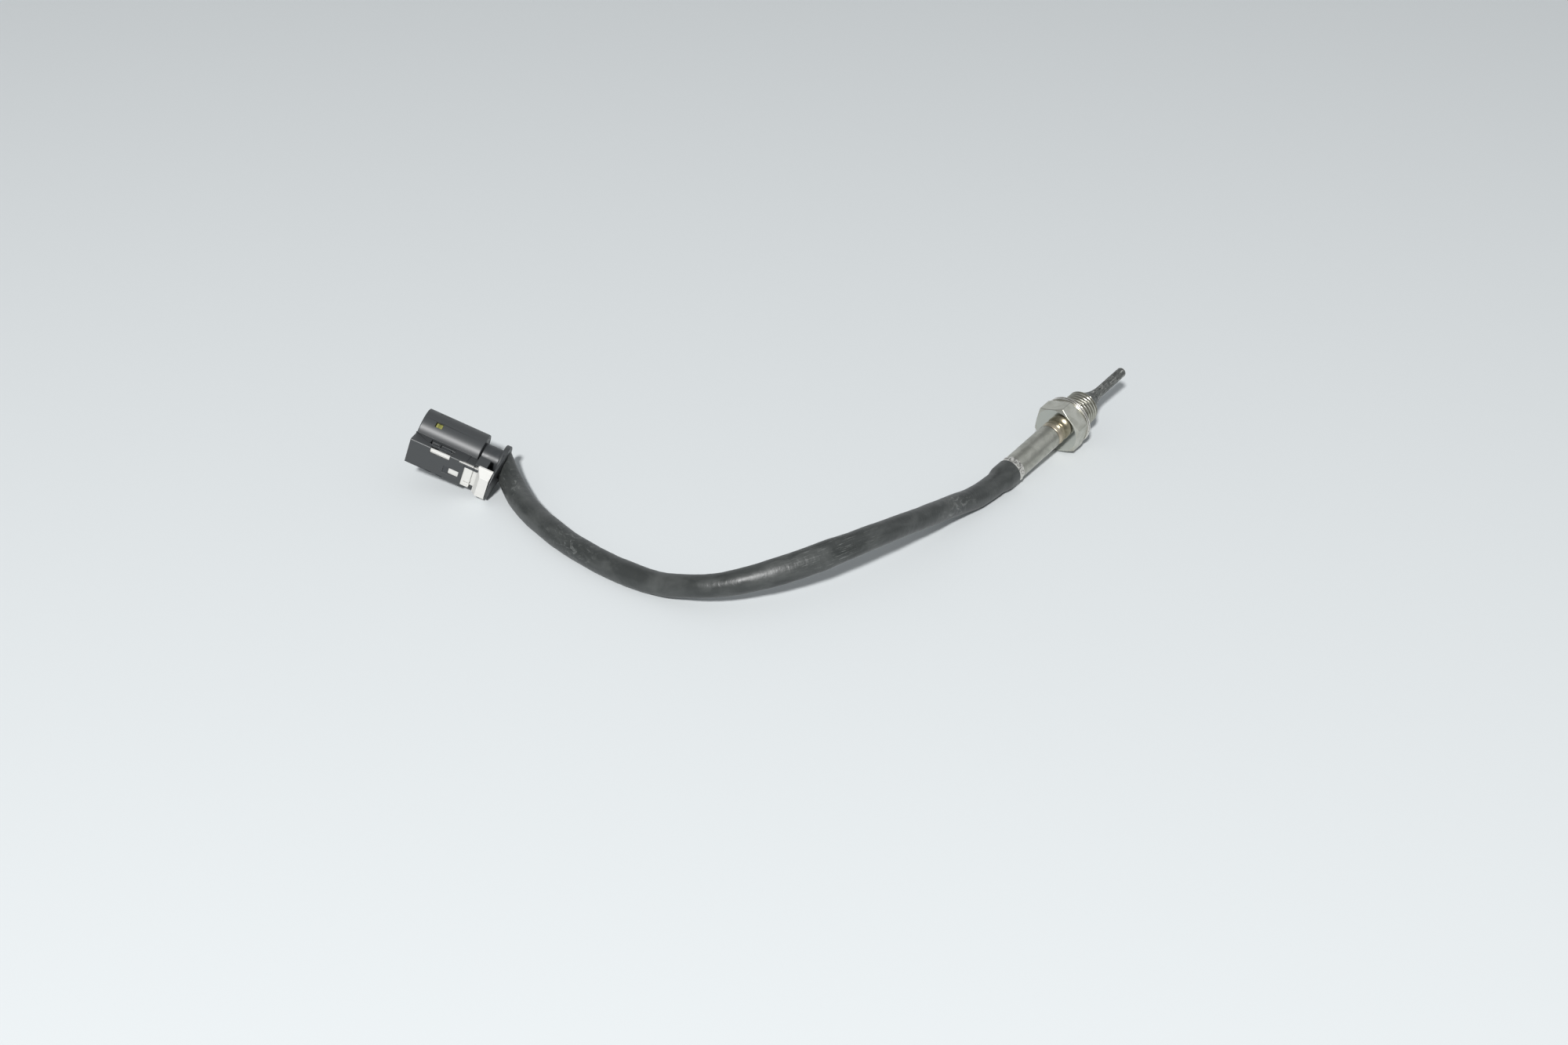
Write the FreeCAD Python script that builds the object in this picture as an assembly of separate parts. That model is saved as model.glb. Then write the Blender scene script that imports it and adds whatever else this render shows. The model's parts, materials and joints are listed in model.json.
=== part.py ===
import FreeCAD, Part
import math
import os

# Exhaust gas temperature sensor: probe head, sleeved lead and two-way plug
# Millimetres and degrees. It lies on the plane z = 0, with the head along +X and the probe tip forwards.
# Head pieces are drawn on a line x, where x = 0 is the rear face of the hexagon.
# Plug pieces are drawn with x = 0 on the rear face of the plate, x towards the mating end,
# y towards the latch and z across it.

vec = FreeCAD.Vector
origin = vec(0, 0, 0)
along_x = vec(1, 0, 0)
along_y = vec(0, 1, 0)
along_z = vec(0, 0, 1)

# General fits
fit_gap = 0.05
slide_gap = 0.3

# Hexagon, flange and thread
hex_across_flats = 19.0
hex_length = 7.4
hex_chamfer_diameter = 18.6
hex_chamfer_angle = 25.0
flange_diameter = 19.2
flange_length = 0.4
relief_diameter = 12.2
relief_length = 4.5
thread_diameter = 14.0
thread_length = 8.0
thread_chamfer = 0.6
socket_depth = 1.5

# Sealing washer, folded from one strip
washer_diameter = 20.5
washer_bore = 12.6
washer_thickness = 1.5
washer_fold_width = 0.5
washer_fold_depth = 2.2

# Probe sheath with its swaged shoulder
sheath_diameter = 4.1
sheath_bore = 2.5
sheath_rear = -10.0
sheath_reach = 49.7
shoulder_diameter = 11.6
shoulder_land = 0.7
shoulder_length = 12.5
sheath_end_wall = 1.3

# Inside the sheath
element_diameter = 1.8
element_length = 2.4
element_wire_diameter = 0.5
element_wire_spread = 0.55

# Neck and braze
neck_diameter = 8.0
neck_wall = 1.0
neck_rear = -7.5
braze_length = 4.2
braze_middle_diameter = 9.8
braze_end_diameter = 9.0

# Crimped ferrule
ferrule_diameter = 10.0
ferrule_wall = 0.5
ferrule_front = -4.8
ferrule_rear = -37.8
crimp_place = -30.5
crimp_width = 1.8
crimp_depth = 0.35

# Inside the ferrule
core_offset = 2.0
insulator_front = -13.0
insulator_length = 9.0
splice_diameter = 2.2
splice_length = 7.0
splice_inset = 0.5
splice_grip = 3.0
grommet_front = -27.5
grommet_recess = 0.5

# Lead wires and sleeve
wire_diameter = 2.0
wire_core_diameter = 1.0
wire_strip = 4.3
sleeve_wire_offset = 1.25
sleeve_diameter = 9.0
sleeve_bore = 7.2
mouth_diameter = 11.5
mouth_front = -33.2
mouth_taper = 5.0
mouth_bore_taper = 3.0

# Route of the lead, from the plug to the head. The first two points follow the plug and the
# last two follow the head, and those between lie on the table or rise in one low arch.
route_middle = [
    vec(-173, 131, 4.7),
    vec(-178, 115, 4.5),
    vec(-182, 96, 4.5),
    vec(-183.5, 75, 4.5),
    vec(-182, 55, 5),
    vec(-176, 34.5, 9.5),
    vec(-162, 18.5, 14.5),
    vec(-143.5, 7, 18.5),
    vec(-121, 1, 18.5),
    vec(-96, -0.5, 14),
    vec(-75, 1, 8.3),
]
plug_exit_shift = 0.4
plug_exit_slant = 52.0
plug_exit_run = 11.0
head_exit_run = 14.0
route_corner_share = 0.45

# Plug shroud and latch block
shroud_diameter = 16.4
shroud_wall = 1.2
shroud_rear = 9.4
shroud_front = 35.0
block_half_width = 6.2
block_height = 15.0
block_wall = 1.2
block_rear = 12.0
block_edge_round = 0.7
block_floor = 8.6
tray_wall_height = 13.1
tray_wall_rear = 4.0
tray_floor_thickness = 1.0
ledge_height = 0.7
ledge_width = 0.8

# Windows in the shroud and the block
seal_window_place = 28.2
seal_window_length = 2.9
seal_window_width = 2.2
seal_window_angle = 68.0
slot_window_length = 3.6
slot_window_width = 0.9
slot_window_angle = 113.0
side_window_rear = 17.6
side_window_length = 10.5
side_window_low = 7.4
side_window_high = 12.4
corner_window_rear = 18.5
corner_window_length = 8.1
corner_window_width = 1.9
corner_window_height = 1.8
rear_corner_window_length = 2.7
top_window_rear = 13.6
top_window_length = 6.3
top_window_low = -3.0
top_window_high = 0.3
edge_slit_places = (19.3, 23.9)
edge_slit_length = 2.6
edge_slit_width = 0.5

# Latch arm inside the block
arm_half_width = 2.6
arm_low = 10.0
arm_high = 11.4
arm_rear = 11.0
arm_front = 31.5
arm_root_length = 2.0
arm_tooth_place = 22.5
arm_tooth_length = 3.0
arm_tooth_height = 0.8

# Terminal carrier, terminals and seals
carrier_diameter = 10.3
carrier_front = 33.0
bulkhead_length = 2.0
rear_barrel_diameter = 9.8
cavity_width = 2.6
cavity_rear = 12.0
pin_entry_length = 1.5
pin_entry_diameter = 1.6
interface_seal_rear = 26.4
interface_seal_length = 5.2
interface_seal_ribs = 3
interface_seal_rib_height = 0.6
wire_seal_diameter = 3.6
wire_seal_rear = 3.0
wire_seal_length = 5.4
wire_seal_ribs = 3
wire_seal_rib_height = 0.35
terminal_width = 2.3
terminal_rear = 14.0
terminal_crimp_length = 5.0
terminal_crimp_diameter = 2.2
terminal_mouth = 1.4
wire_end_in_plug = 12.5

# Rear plate
plate_thickness = 2.0
plate_radius = 7.5
plate_half_width = 7.0
plate_reach = 18.0
wing_thickness = 0.8
plate_corner_round = 1.5
plate_hole_low = -1.3
plate_hole_high = 1.7

# White lock
lock_travel = 3.0
lock_thickness = 0.9
lock_front = 27.0
lock_pad_length = 5.2
lock_pad_top = 17.6
lock_pad_step = 0.9
lock_pad_half_width = 6.5
lock_pad_crown_inset = 1.1
lock_pad_crown_half_width = 4.0
lock_groove_place = 8.4
lock_groove_length = 2.6
lock_groove_width = 0.5
lock_groove_side = -3.5

# How the head lies: tip raised, one corner of the hexagon a little to the side of the lowest point
head_place_x = -5.6
head_tilt = 7.0
hex_corner_turn = 14.0

# How the plug lies: on the lower corner of its rear plate, front raised
plug_place_x = -159.9
plug_place_y = 154.6
plug_heading = 116.0
plug_pitch = 20.7
plug_roll = -7.4


def revolved(points, axis_start=origin, axis_dir=along_x):
    """Solid of revolution about the x line from a closed outline of (x, radius) points and arcs.

    An entry of two values is a corner. An entry of four values is the middle and the end of an arc.
    """
    edges = []
    last = vec(points[0][0], points[0][1], 0)
    first = last
    for entry in points[1:]:
        if len(entry) == 4:
            middle = vec(entry[0], entry[1], 0)
            end = vec(entry[2], entry[3], 0)
            edges.append(Part.Arc(last, middle, end).toShape())
        else:
            end = vec(entry[0], entry[1], 0)
            edges.append(Part.LineSegment(last, end).toShape())
        last = end
    edges.append(Part.LineSegment(last, first).toShape())
    face = Part.Face(Part.Wire(edges))
    return face.revolve(axis_start, axis_dir, 360)


def rod(x_from, x_to, diameter, y=0.0, z=0.0):
    """Round bar along x."""
    return Part.makeCylinder(diameter / 2, x_to - x_from, vec(x_from, y, z), along_x)


def block(x_from, x_to, y_from, y_to, z_from, z_to):
    """Rectangular block between two corners."""
    return Part.makeBox(x_to - x_from, y_to - y_from, z_to - z_from, vec(x_from, y_from, z_from))


def joined(first, others):
    """One solid from overlapping or touching pieces."""
    return first.fuse(others).removeSplitter()


def corner_radii(points):
    """Radius of the arc at each inner point of a route, as large as its two runs allow."""
    radii = []
    for before, at, after in zip(points, points[1:], points[2:]):
        run_in = (at - before).Length
        run_out = (after - at).Length
        turn = (at - before).getAngle(after - at)
        radii.append(route_corner_share * min(run_in, run_out) / math.tan(turn / 2))
    return radii


def route_wire(points):
    """Straight runs joined by tangent arcs through a list of route points."""
    edges = []
    start = points[0]
    for before, at, after, radius in zip(points, points[1:], points[2:], corner_radii(points)):
        back = (before - at).normalize()
        ahead = (after - at).normalize()
        half_turn = (math.pi - back.getAngle(ahead)) / 2
        cut = radius * math.tan(half_turn)
        arc_start = at + back * cut
        arc_end = at + ahead * cut
        inward = (back + ahead).normalize()
        arc_middle = at + inward * (radius / math.cos(half_turn) - radius)
        edges.append(Part.LineSegment(start, arc_start).toShape())
        edges.append(Part.Arc(arc_start, arc_middle, arc_end).toShape())
        start = arc_end
    edges.append(Part.LineSegment(start, points[-1]).toShape())
    return Part.Wire(edges)


def swept(points, diameter):
    """Solid tube of one diameter along a route."""
    path = route_wire(points)
    direction = points[1] - points[0]
    circle = Part.Circle(points[0], direction, diameter / 2).toShape()
    section = Part.Face(Part.Wire([circle]))
    return path.makePipe(section)


# Places along the head that follow from the sizes above
flange_front = hex_length + flange_length
thread_rear = flange_front + relief_length
thread_front = thread_rear + thread_length
shoulder_front = thread_front + shoulder_land + shoulder_length
sheath_radius = sheath_diameter / 2
bore_end = sheath_reach - sheath_end_wall
element_rear = bore_end - element_length
ferrule_inside = ferrule_diameter / 2 - ferrule_wall
insulator_rear = insulator_front - insulator_length
splice_front = insulator_front - splice_inset
splice_rear = splice_front - splice_length
grommet_rear = ferrule_rear + grommet_recess
shroud_inside = shroud_diameter / 2 - shroud_wall
block_inside_height = block_height - block_wall
block_inside_half = block_half_width - block_wall
lock_top = block_inside_height - slide_gap
lock_bottom = lock_top - lock_thickness
lock_half_width = block_inside_half - slide_gap
ledge_top = lock_bottom - slide_gap


# How the head and the plug are turned and placed
def head_placement():
    """Placement that lays the head on the table, with its middle close to x = 0."""
    tilt = math.radians(head_tilt)
    corner_radius = hex_across_flats / math.sqrt(3)
    corner_start = (corner_radius - hex_chamfer_diameter / 2) * math.tan(math.radians(hex_chamfer_angle))
    corner_drop = corner_radius * math.cos(math.radians(hex_corner_turn)) * math.cos(tilt)
    place = vec(head_place_x, 0, corner_drop - corner_start * math.sin(tilt))
    return FreeCAD.Placement(place, FreeCAD.Rotation(along_y, -head_tilt))


def plug_placement():
    """Placement that stands the plug on the lower corner of its rear plate."""
    heading = FreeCAD.Rotation(along_z, plug_heading)
    pitch = FreeCAD.Rotation(along_y, -plug_pitch)
    roll = FreeCAD.Rotation(along_x, plug_roll)
    turn = heading.multiply(pitch).multiply(roll)
    corner_centre = vec(0, plate_reach - plate_corner_round, plate_corner_round - plate_half_width)
    latch_up = turn.multVec(along_y).z
    side_up = turn.multVec(along_z).z
    lowest = turn.multVec(corner_centre).z - plate_corner_round * math.hypot(latch_up, side_up)
    return FreeCAD.Placement(vec(plug_place_x, plug_place_y, -lowest), turn)


head_place = head_placement()
plug_place = plug_placement()
parts = {}


def keep_head(name, shape):
    """Place a piece of the head and keep it under its name."""
    shape.Placement = head_place.multiply(shape.Placement)
    parts[name] = shape


def keep_plug(name, shape):
    """Place a piece of the plug and keep it under its name."""
    shape.Placement = plug_place.multiply(shape.Placement)
    parts[name] = shape


def hex_body():
    """Hexagon with turned chamfers, flange, relief and threaded shank, bored for the sheath."""
    corner_radius = hex_across_flats / math.sqrt(3)
    corners = []
    for number in range(6):
        angle = math.radians(270 + hex_corner_turn + 60 * number)
        corners.append(vec(0, corner_radius * math.cos(angle), corner_radius * math.sin(angle)))
    corners.append(corners[0])
    prism = Part.Face(Part.makePolygon(corners)).extrude(along_x * hex_length)
    face_radius = hex_chamfer_diameter / 2
    run = (corner_radius + 1 - face_radius) * math.tan(math.radians(hex_chamfer_angle))
    turned = revolved([
        (0, 0), (0, face_radius), (run, corner_radius + 1),
        (hex_length - run, corner_radius + 1), (hex_length, face_radius), (hex_length, 0),
    ])
    nut = prism.common(turned)
    shank = revolved([
        (hex_length, 0), (hex_length, flange_diameter / 2), (flange_front, flange_diameter / 2),
        (flange_front, relief_diameter / 2), (thread_rear, relief_diameter / 2),
        (thread_rear, thread_diameter / 2), (thread_front - thread_chamfer, thread_diameter / 2),
        (thread_front, thread_diameter / 2 - thread_chamfer), (thread_front, 0),
    ])
    bore = rod(-1, thread_front + 1, sheath_diameter + 2 * fit_gap)
    socket = rod(-1, socket_depth, neck_diameter + 2 * fit_gap)
    return joined(nut, [shank]).cut(bore).cut(socket)


def crush_washer():
    """Thin washer folded double, with a groove round its rim between the two layers."""
    outer = washer_diameter / 2
    rear = flange_front
    front = flange_front + washer_thickness
    layer = (washer_thickness - washer_fold_width) / 2
    fold = outer - washer_fold_depth
    edge = layer / 3
    return revolved([
        (rear, washer_bore / 2), (rear, outer - edge), (rear + edge, outer),
        (rear + layer - edge, outer), (rear + layer, outer - edge),
        (rear + layer, fold), (front - layer, fold),
        (front - layer, outer - edge), (front - layer + edge, outer),
        (front - edge, outer), (front, outer - edge), (front, washer_bore / 2),
    ])


def probe_sheath():
    """Closed tube with a trumpet-shaped shoulder that seats on the end of the thread."""
    shoulder_radius = shoulder_diameter / 2
    rise = shoulder_radius - sheath_radius
    curve = (shoulder_length ** 2 + rise ** 2) / (2 * rise)
    half_sweep = math.asin(shoulder_length / curve) / 2
    curve_x = shoulder_front - curve * math.sin(half_sweep)
    curve_radius = sheath_radius + curve * (1 - math.cos(half_sweep))
    dome = sheath_reach - sheath_radius
    diagonal = sheath_radius * math.sqrt(0.5)
    return revolved([
        (sheath_rear, sheath_bore / 2), (sheath_rear, sheath_radius),
        (thread_front, sheath_radius), (thread_front, shoulder_radius),
        (thread_front + shoulder_land, shoulder_radius),
        (curve_x, curve_radius, shoulder_front, sheath_radius),
        (dome, sheath_radius), (dome + diagonal, diagonal, sheath_reach, 0),
        (bore_end, 0), (bore_end, sheath_bore / 2),
    ])


def sensing_element():
    """Round measuring bead at the closed end of the sheath."""
    radius = element_diameter / 2
    nose = bore_end - radius
    diagonal = radius * math.sqrt(0.5)
    return revolved([
        (element_rear, 0), (element_rear, radius), (nose, radius),
        (nose + diagonal, diagonal, bore_end, 0),
    ])


def mineral_insulation():
    """Compacted rod with a bore for each element wire."""
    core = rod(sheath_rear, element_rear, sheath_bore - 2 * fit_gap)
    for side in (1, -1):
        hole = element_wire_diameter + 2 * fit_gap
        core = core.cut(rod(sheath_rear - 1, element_rear + 1, hole, z=side * element_wire_spread))
    return core


def element_wire(side):
    """Bare wire from the element to its splice."""
    jog_front = sheath_rear - 0.6
    jog_rear = insulator_front + 0.6
    points = [
        vec(element_rear, 0, side * element_wire_spread),
        vec(jog_front, 0, side * element_wire_spread),
        vec(jog_rear, 0, side * core_offset),
        vec(splice_front - splice_grip, 0, side * core_offset),
    ]
    return swept(points, element_wire_diameter)


def neck_tube():
    """Short tube set in the rear of the hexagon."""
    tube = rod(neck_rear, socket_depth, neck_diameter)
    return tube.cut(rod(neck_rear - 1, socket_depth + 1, neck_diameter - 2 * neck_wall))


def braze_collar():
    """One rounded ring of braze round the neck, seated on the hexagon."""
    inner = neck_diameter / 2 + fit_gap
    end = braze_end_diameter / 2
    return revolved([
        (-braze_length, inner), (-braze_length, end),
        (-braze_length / 2, braze_middle_diameter / 2, 0, end), (0, inner),
    ])


def crimp_ferrule():
    """Thin tube with a rounded front shoulder and one rolled crimp."""
    outer = ferrule_diameter / 2
    inner = ferrule_inside
    hole = neck_diameter / 2 + fit_gap
    outer_round = outer - hole
    inner_round = inner - hole
    centre = ferrule_front - outer_round
    crimp_front = crimp_place + crimp_width / 2
    crimp_rear = crimp_place - crimp_width / 2
    half = math.sqrt(0.5)
    return revolved([
        (ferrule_rear, inner), (ferrule_rear, outer), (crimp_rear, outer),
        (crimp_place, outer - crimp_depth, crimp_front, outer), (centre, outer),
        (centre + outer_round * half, hole + outer_round * half, ferrule_front, hole),
        (centre + inner_round, hole),
        (centre + inner_round * half, hole + inner_round * half, centre, inner),
        (crimp_front, inner), (crimp_place, inner - crimp_depth, crimp_rear, inner),
    ])


def splice_insulator():
    """Two-hole bush round the splices."""
    bush = rod(insulator_rear, insulator_front, 2 * (ferrule_inside - fit_gap))
    for side in (1, -1):
        hole = splice_diameter + 2 * fit_gap
        bush = bush.cut(rod(insulator_rear - 1, insulator_front + 1, hole, z=side * core_offset))
    return bush


def splice(side):
    """Crimped sleeve that joins an element wire to a lead wire."""
    z = side * core_offset
    body = rod(splice_rear, splice_front, splice_diameter, z=z)
    front_hole = rod(splice_front - splice_grip, splice_front + 1, element_wire_diameter + 2 * fit_gap, z=z)
    rear_hole = rod(splice_rear - 1, splice_rear + splice_grip, wire_core_diameter + 2 * fit_gap, z=z)
    return body.cut(front_hole).cut(rear_hole)


def ferrule_grommet():
    """Rubber bush squeezed in the rear of the ferrule."""
    outer = ferrule_inside - fit_gap
    crimp_front = crimp_place + crimp_width / 2 + fit_gap
    crimp_rear = crimp_place - crimp_width / 2 - fit_gap
    bush = revolved([
        (grommet_rear, 0), (grommet_rear, outer), (crimp_rear, outer),
        (crimp_place, outer - 2 * crimp_depth), (crimp_front, outer),
        (grommet_front, outer), (grommet_front, 0),
    ])
    for side in (1, -1):
        hole = wire_diameter + 2 * fit_gap
        bush = bush.cut(rod(grommet_rear - 1, grommet_front + 1, hole, z=side * core_offset))
    return bush


def lead_route():
    """Route points of the sleeve from the plug to the rear of the ferrule."""
    slant = math.radians(plug_exit_slant)
    leave = vec(-math.cos(slant), math.sin(slant), 0)
    exit_point = vec(0, plug_exit_shift, 0)
    points = [plug_place.multVec(exit_point), plug_place.multVec(exit_point + leave * plug_exit_run)]
    points += route_middle
    points.append(head_place.multVec(vec(ferrule_rear - head_exit_run, 0, 0)))
    points.append(head_place.multVec(vec(ferrule_rear, 0, 0)))
    return points


def lead_sleeve(points):
    """Hollow sleeve, cut flush with the plug's rear plate and flared over the ferrule."""
    first_run = (points[1] - points[0]).normalize()
    started = [points[0] - first_run * sleeve_diameter] + points[1:]
    tube = swept(started, sleeve_diameter)
    hollow = swept(started, sleeve_bore)
    mouth_rear = ferrule_rear - mouth_taper
    mouth = revolved([
        (mouth_rear - 1, 0), (mouth_rear - 1, sleeve_diameter / 2), (mouth_rear, sleeve_diameter / 2),
        (ferrule_rear, mouth_diameter / 2), (mouth_front, mouth_diameter / 2), (mouth_front, 0),
    ])
    cavity_end = ferrule_rear - mouth_bore_taper
    seat = ferrule_diameter / 2 + fit_gap
    cavity = revolved([
        (mouth_rear - 1, 0), (mouth_rear - 1, sleeve_bore / 2), (cavity_end, sleeve_bore / 2),
        (ferrule_rear, seat), (mouth_front + 1, seat), (mouth_front + 1, 0),
    ])
    mouth.Placement = head_place
    cavity.Placement = head_place
    room = 4 * sleeve_diameter
    plug_side = block(0, room, -room, room, -room, room)
    plug_side.Placement = plug_place
    return joined(tube, [mouth]).cut(hollow).cut(cavity).cut(plug_side)


def lead_wire(points, side):
    """Insulated wire from its splice, through the sleeve, to its terminal."""
    slant = math.radians(plug_exit_slant)
    turn_point = vec(-plug_exit_run / 6, 0, side * core_offset)
    half_way = vec(-math.cos(slant), math.sin(slant), 0) * (plug_exit_run / 2)
    half_way += vec(0, plug_exit_shift, side * (core_offset + sleeve_wire_offset) / 2)
    path = [
        plug_place.multVec(vec(wire_end_in_plug, 0, side * core_offset)),
        plug_place.multVec(turn_point),
        plug_place.multVec(half_way),
    ]
    path += [point + along_z * (side * sleeve_wire_offset) for point in points[1:-1]]
    path.append(head_place.multVec(vec(ferrule_rear - head_exit_run / 3, 0, side * core_offset)))
    path.append(head_place.multVec(vec(splice_rear - 1, 0, side * core_offset)))
    jacket = swept(path, wire_diameter)
    head_core = rod(splice_rear - 2, splice_rear + splice_grip, wire_core_diameter, z=side * core_offset)
    plug_core = rod(wire_end_in_plug - 1, wire_end_in_plug + wire_strip, wire_core_diameter,
                    z=side * core_offset)
    head_core.Placement = head_place
    plug_core.Placement = plug_place
    return joined(jacket, [head_core, plug_core])


def shroud_window(place, length, width, angle):
    """Cutter for a window through the shroud's wall at an angle from the latch."""
    reach = shroud_diameter / 2 + 1
    cutter = block(place - length / 2, place + length / 2, shroud_inside - 1, reach, -width / 2, width / 2)
    cutter.rotate(origin, along_x, angle)
    return cutter


def latch_arm():
    """Flexing arm with its tooth, rooted on the floor of the block."""
    beam = block(arm_rear, arm_front, arm_low, arm_high, -arm_half_width, arm_half_width)
    root = block(arm_front - arm_root_length, arm_front, block_floor - 0.5, arm_high,
                 -arm_half_width, arm_half_width)
    tooth_front = arm_tooth_place + arm_tooth_length
    outline = [
        vec(arm_tooth_place, arm_high, 0), vec(arm_tooth_place, arm_high + arm_tooth_height, 0),
        vec(tooth_front, arm_high, 0), vec(arm_tooth_place, arm_high, 0),
    ]
    tooth = Part.Face(Part.makePolygon(outline)).extrude(along_z * (2 * arm_half_width))
    tooth.translate(vec(0, 0, -arm_half_width))
    return joined(beam, [root, tooth])


def housing_windows():
    """Every opening cut through the outer walls of the housing."""
    cutters = [
        shroud_window(seal_window_place, seal_window_length, seal_window_width, seal_window_angle),
        shroud_window(seal_window_place, slot_window_length, slot_window_width, slot_window_angle),
        shroud_window(seal_window_place, seal_window_length, seal_window_width, -seal_window_angle),
        shroud_window(seal_window_place, slot_window_length, slot_window_width, -slot_window_angle),
    ]
    outside = block_half_width + 1
    above = block_height + 1
    corner_low = block_height - corner_window_height
    corner_side = block_half_width - corner_window_width
    side_front = side_window_rear + side_window_length
    cutters.append(block(side_window_rear, side_front, side_window_low, side_window_high,
                         block_inside_half - ledge_width - 0.1, outside))
    corner_front = corner_window_rear + corner_window_length
    cutters.append(block(corner_window_rear, corner_front, corner_low, above, corner_side, outside))
    rear_corner_end = block_rear + rear_corner_window_length
    cutters.append(block(block_rear - 1, rear_corner_end, corner_low, above, corner_side, outside))
    top_front = top_window_rear + top_window_length
    cutters.append(block(top_window_rear, top_front, block_inside_height - 0.1, above,
                         top_window_low, top_window_high))
    for place in edge_slit_places:
        cutters.append(block(place, place + edge_slit_length, corner_low, above,
                             -block_half_width + 0.1, -block_half_width + 0.1 + edge_slit_width))
    return cutters


def plug_housing():
    """Round shroud with a latch block on one side and a tray behind it, one moulding."""
    shroud = rod(shroud_rear, shroud_front, shroud_diameter)
    body = block(block_rear, shroud_front, 0, block_height, -block_half_width, block_half_width)
    top_edges = [edge for edge in body.Edges
                 if abs(edge.CenterOfMass.y - block_height) < 0.01 and abs(edge.tangentAt(0).x) > 0.9]
    body = body.makeFillet(block_edge_round, top_edges)
    upper = block(tray_wall_rear, block_rear, 0, tray_wall_height, block_inside_half, block_half_width)
    lower = block(wing_thickness, block_rear, 0, tray_wall_height, -block_half_width, -block_inside_half)
    floor = block(tray_wall_rear, block_rear, block_floor - tray_floor_thickness, block_floor,
                  -block_half_width, block_half_width)
    moulding = joined(shroud, [body, upper, lower, floor])
    moulding = moulding.cut(rod(0, shroud_front + 1, 2 * shroud_inside))
    moulding = moulding.cut(rod(0, plate_thickness, 2 * plate_radius + 2 * fit_gap))
    moulding = moulding.cut(block(0, shroud_rear, -shroud_diameter, block_floor - tray_floor_thickness,
                                  -block_inside_half, block_inside_half))
    room = block(block_rear - 1, shroud_front + 1, block_floor, block_inside_height,
                 -block_inside_half, block_inside_half)
    moulding = moulding.cut(room)
    ledges = []
    for side in (1, -1):
        outer = side * (block_inside_half + 0.2)
        inner = side * (block_inside_half - ledge_width)
        ledges.append(block(tray_wall_rear + 2, shroud_front - 2, ledge_top - ledge_height, ledge_top,
                            min(outer, inner), max(outer, inner)))
    moulding = joined(moulding, ledges)
    for cutter in housing_windows():
        moulding = moulding.cut(cutter)
    return joined(moulding, [latch_arm()])


def terminal_carrier():
    """Inner barrel with two square cavities, a bulkhead and the rear barrel for the wire seals."""
    front = rod(shroud_rear, carrier_front, carrier_diameter)
    bulkhead = rod(shroud_rear, shroud_rear + bulkhead_length, 2 * (shroud_inside - fit_gap))
    rear = rod(plate_thickness, shroud_rear + 1, rear_barrel_diameter)
    carrier = joined(front, [bulkhead, rear])
    half = cavity_width / 2
    cavity_front = carrier_front - pin_entry_length
    for side in (1, -1):
        z = side * core_offset
        carrier = carrier.cut(block(cavity_rear, cavity_front, -half, half, z - half, z + half))
        carrier = carrier.cut(rod(cavity_front - 1, carrier_front + 1, pin_entry_diameter, z=z))
        carrier = carrier.cut(rod(plate_thickness - 1, cavity_rear + 0.5, wire_seal_diameter + 2 * fit_gap,
                                  z=z))
    return carrier


def ribbed_ring(rear, length, bore, outer_diameter, ribs, rib_height):
    """Ring seal with evenly spaced ribs, blunt at their tops, on its outside."""
    outer = outer_diameter / 2
    root = outer - rib_height
    pitch = length / ribs
    outline = [(rear, bore / 2), (rear, root)]
    for number in range(ribs):
        start = rear + number * pitch
        outline.append((start + pitch * 0.35, outer))
        outline.append((start + pitch * 0.65, outer))
        outline.append((start + pitch, root))
    outline.append((rear + length, bore / 2))
    return revolved(outline)


def interface_seal():
    """Ring seal round the carrier, seen through the windows of the shroud."""
    return ribbed_ring(interface_seal_rear, interface_seal_length, carrier_diameter + 2 * fit_gap,
                       2 * (shroud_inside - fit_gap), interface_seal_ribs, interface_seal_rib_height)


def wire_seal(side):
    """Small ribbed seal on one wire in the rear barrel."""
    seal = ribbed_ring(wire_seal_rear, wire_seal_length, wire_diameter + 2 * fit_gap, wire_seal_diameter,
                       wire_seal_ribs, wire_seal_rib_height)
    seal.translate(vec(0, 0, side * core_offset))
    return seal


def terminal(side):
    """Box terminal with a round crimp barrel behind it."""
    z = side * core_offset
    half = terminal_width / 2
    box_rear = terminal_rear + terminal_crimp_length
    box_front = carrier_front - pin_entry_length - fit_gap
    crimp = rod(terminal_rear, box_rear + 0.5, terminal_crimp_diameter, z=z)
    box = block(box_rear, box_front, -half, half, z - half, z + half)
    mouth = terminal_mouth / 2
    opening = block(box_rear + 1, box_front + 1, -mouth, mouth, z - mouth, z + mouth)
    wire_hole = rod(terminal_rear - 1, wire_end_in_plug + wire_strip, wire_core_diameter + 2 * fit_gap, z=z)
    return joined(crimp, [box]).cut(opening).cut(wire_hole)


def rear_plate():
    """Keyhole-shaped plate on the end of the rear barrel, thinner behind the lock, with a long hole."""
    disc = rod(0, plate_thickness, 2 * plate_radius)
    wing = block(0, wing_thickness, 0, plate_reach, -plate_half_width, plate_half_width)
    corners = [edge for edge in wing.Edges
               if abs(edge.CenterOfMass.y - plate_reach) < 0.01 and abs(edge.tangentAt(0).x) > 0.9]
    wing = wing.makeFillet(plate_corner_round, corners)
    plate = joined(disc, [wing])
    hole_half = core_offset + wire_diameter / 2 + slide_gap
    return plate.cut(block(-1, plate_thickness + 1, plate_hole_low, plate_hole_high, -hole_half, hole_half))


def rectangle(x_from, x_to, y, z_half):
    """Closed outline in a plane of constant y."""
    return Part.makePolygon([
        vec(x_from, y, -z_half), vec(x_to, y, -z_half), vec(x_to, y, z_half), vec(x_from, y, z_half),
        vec(x_from, y, -z_half),
    ])


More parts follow.
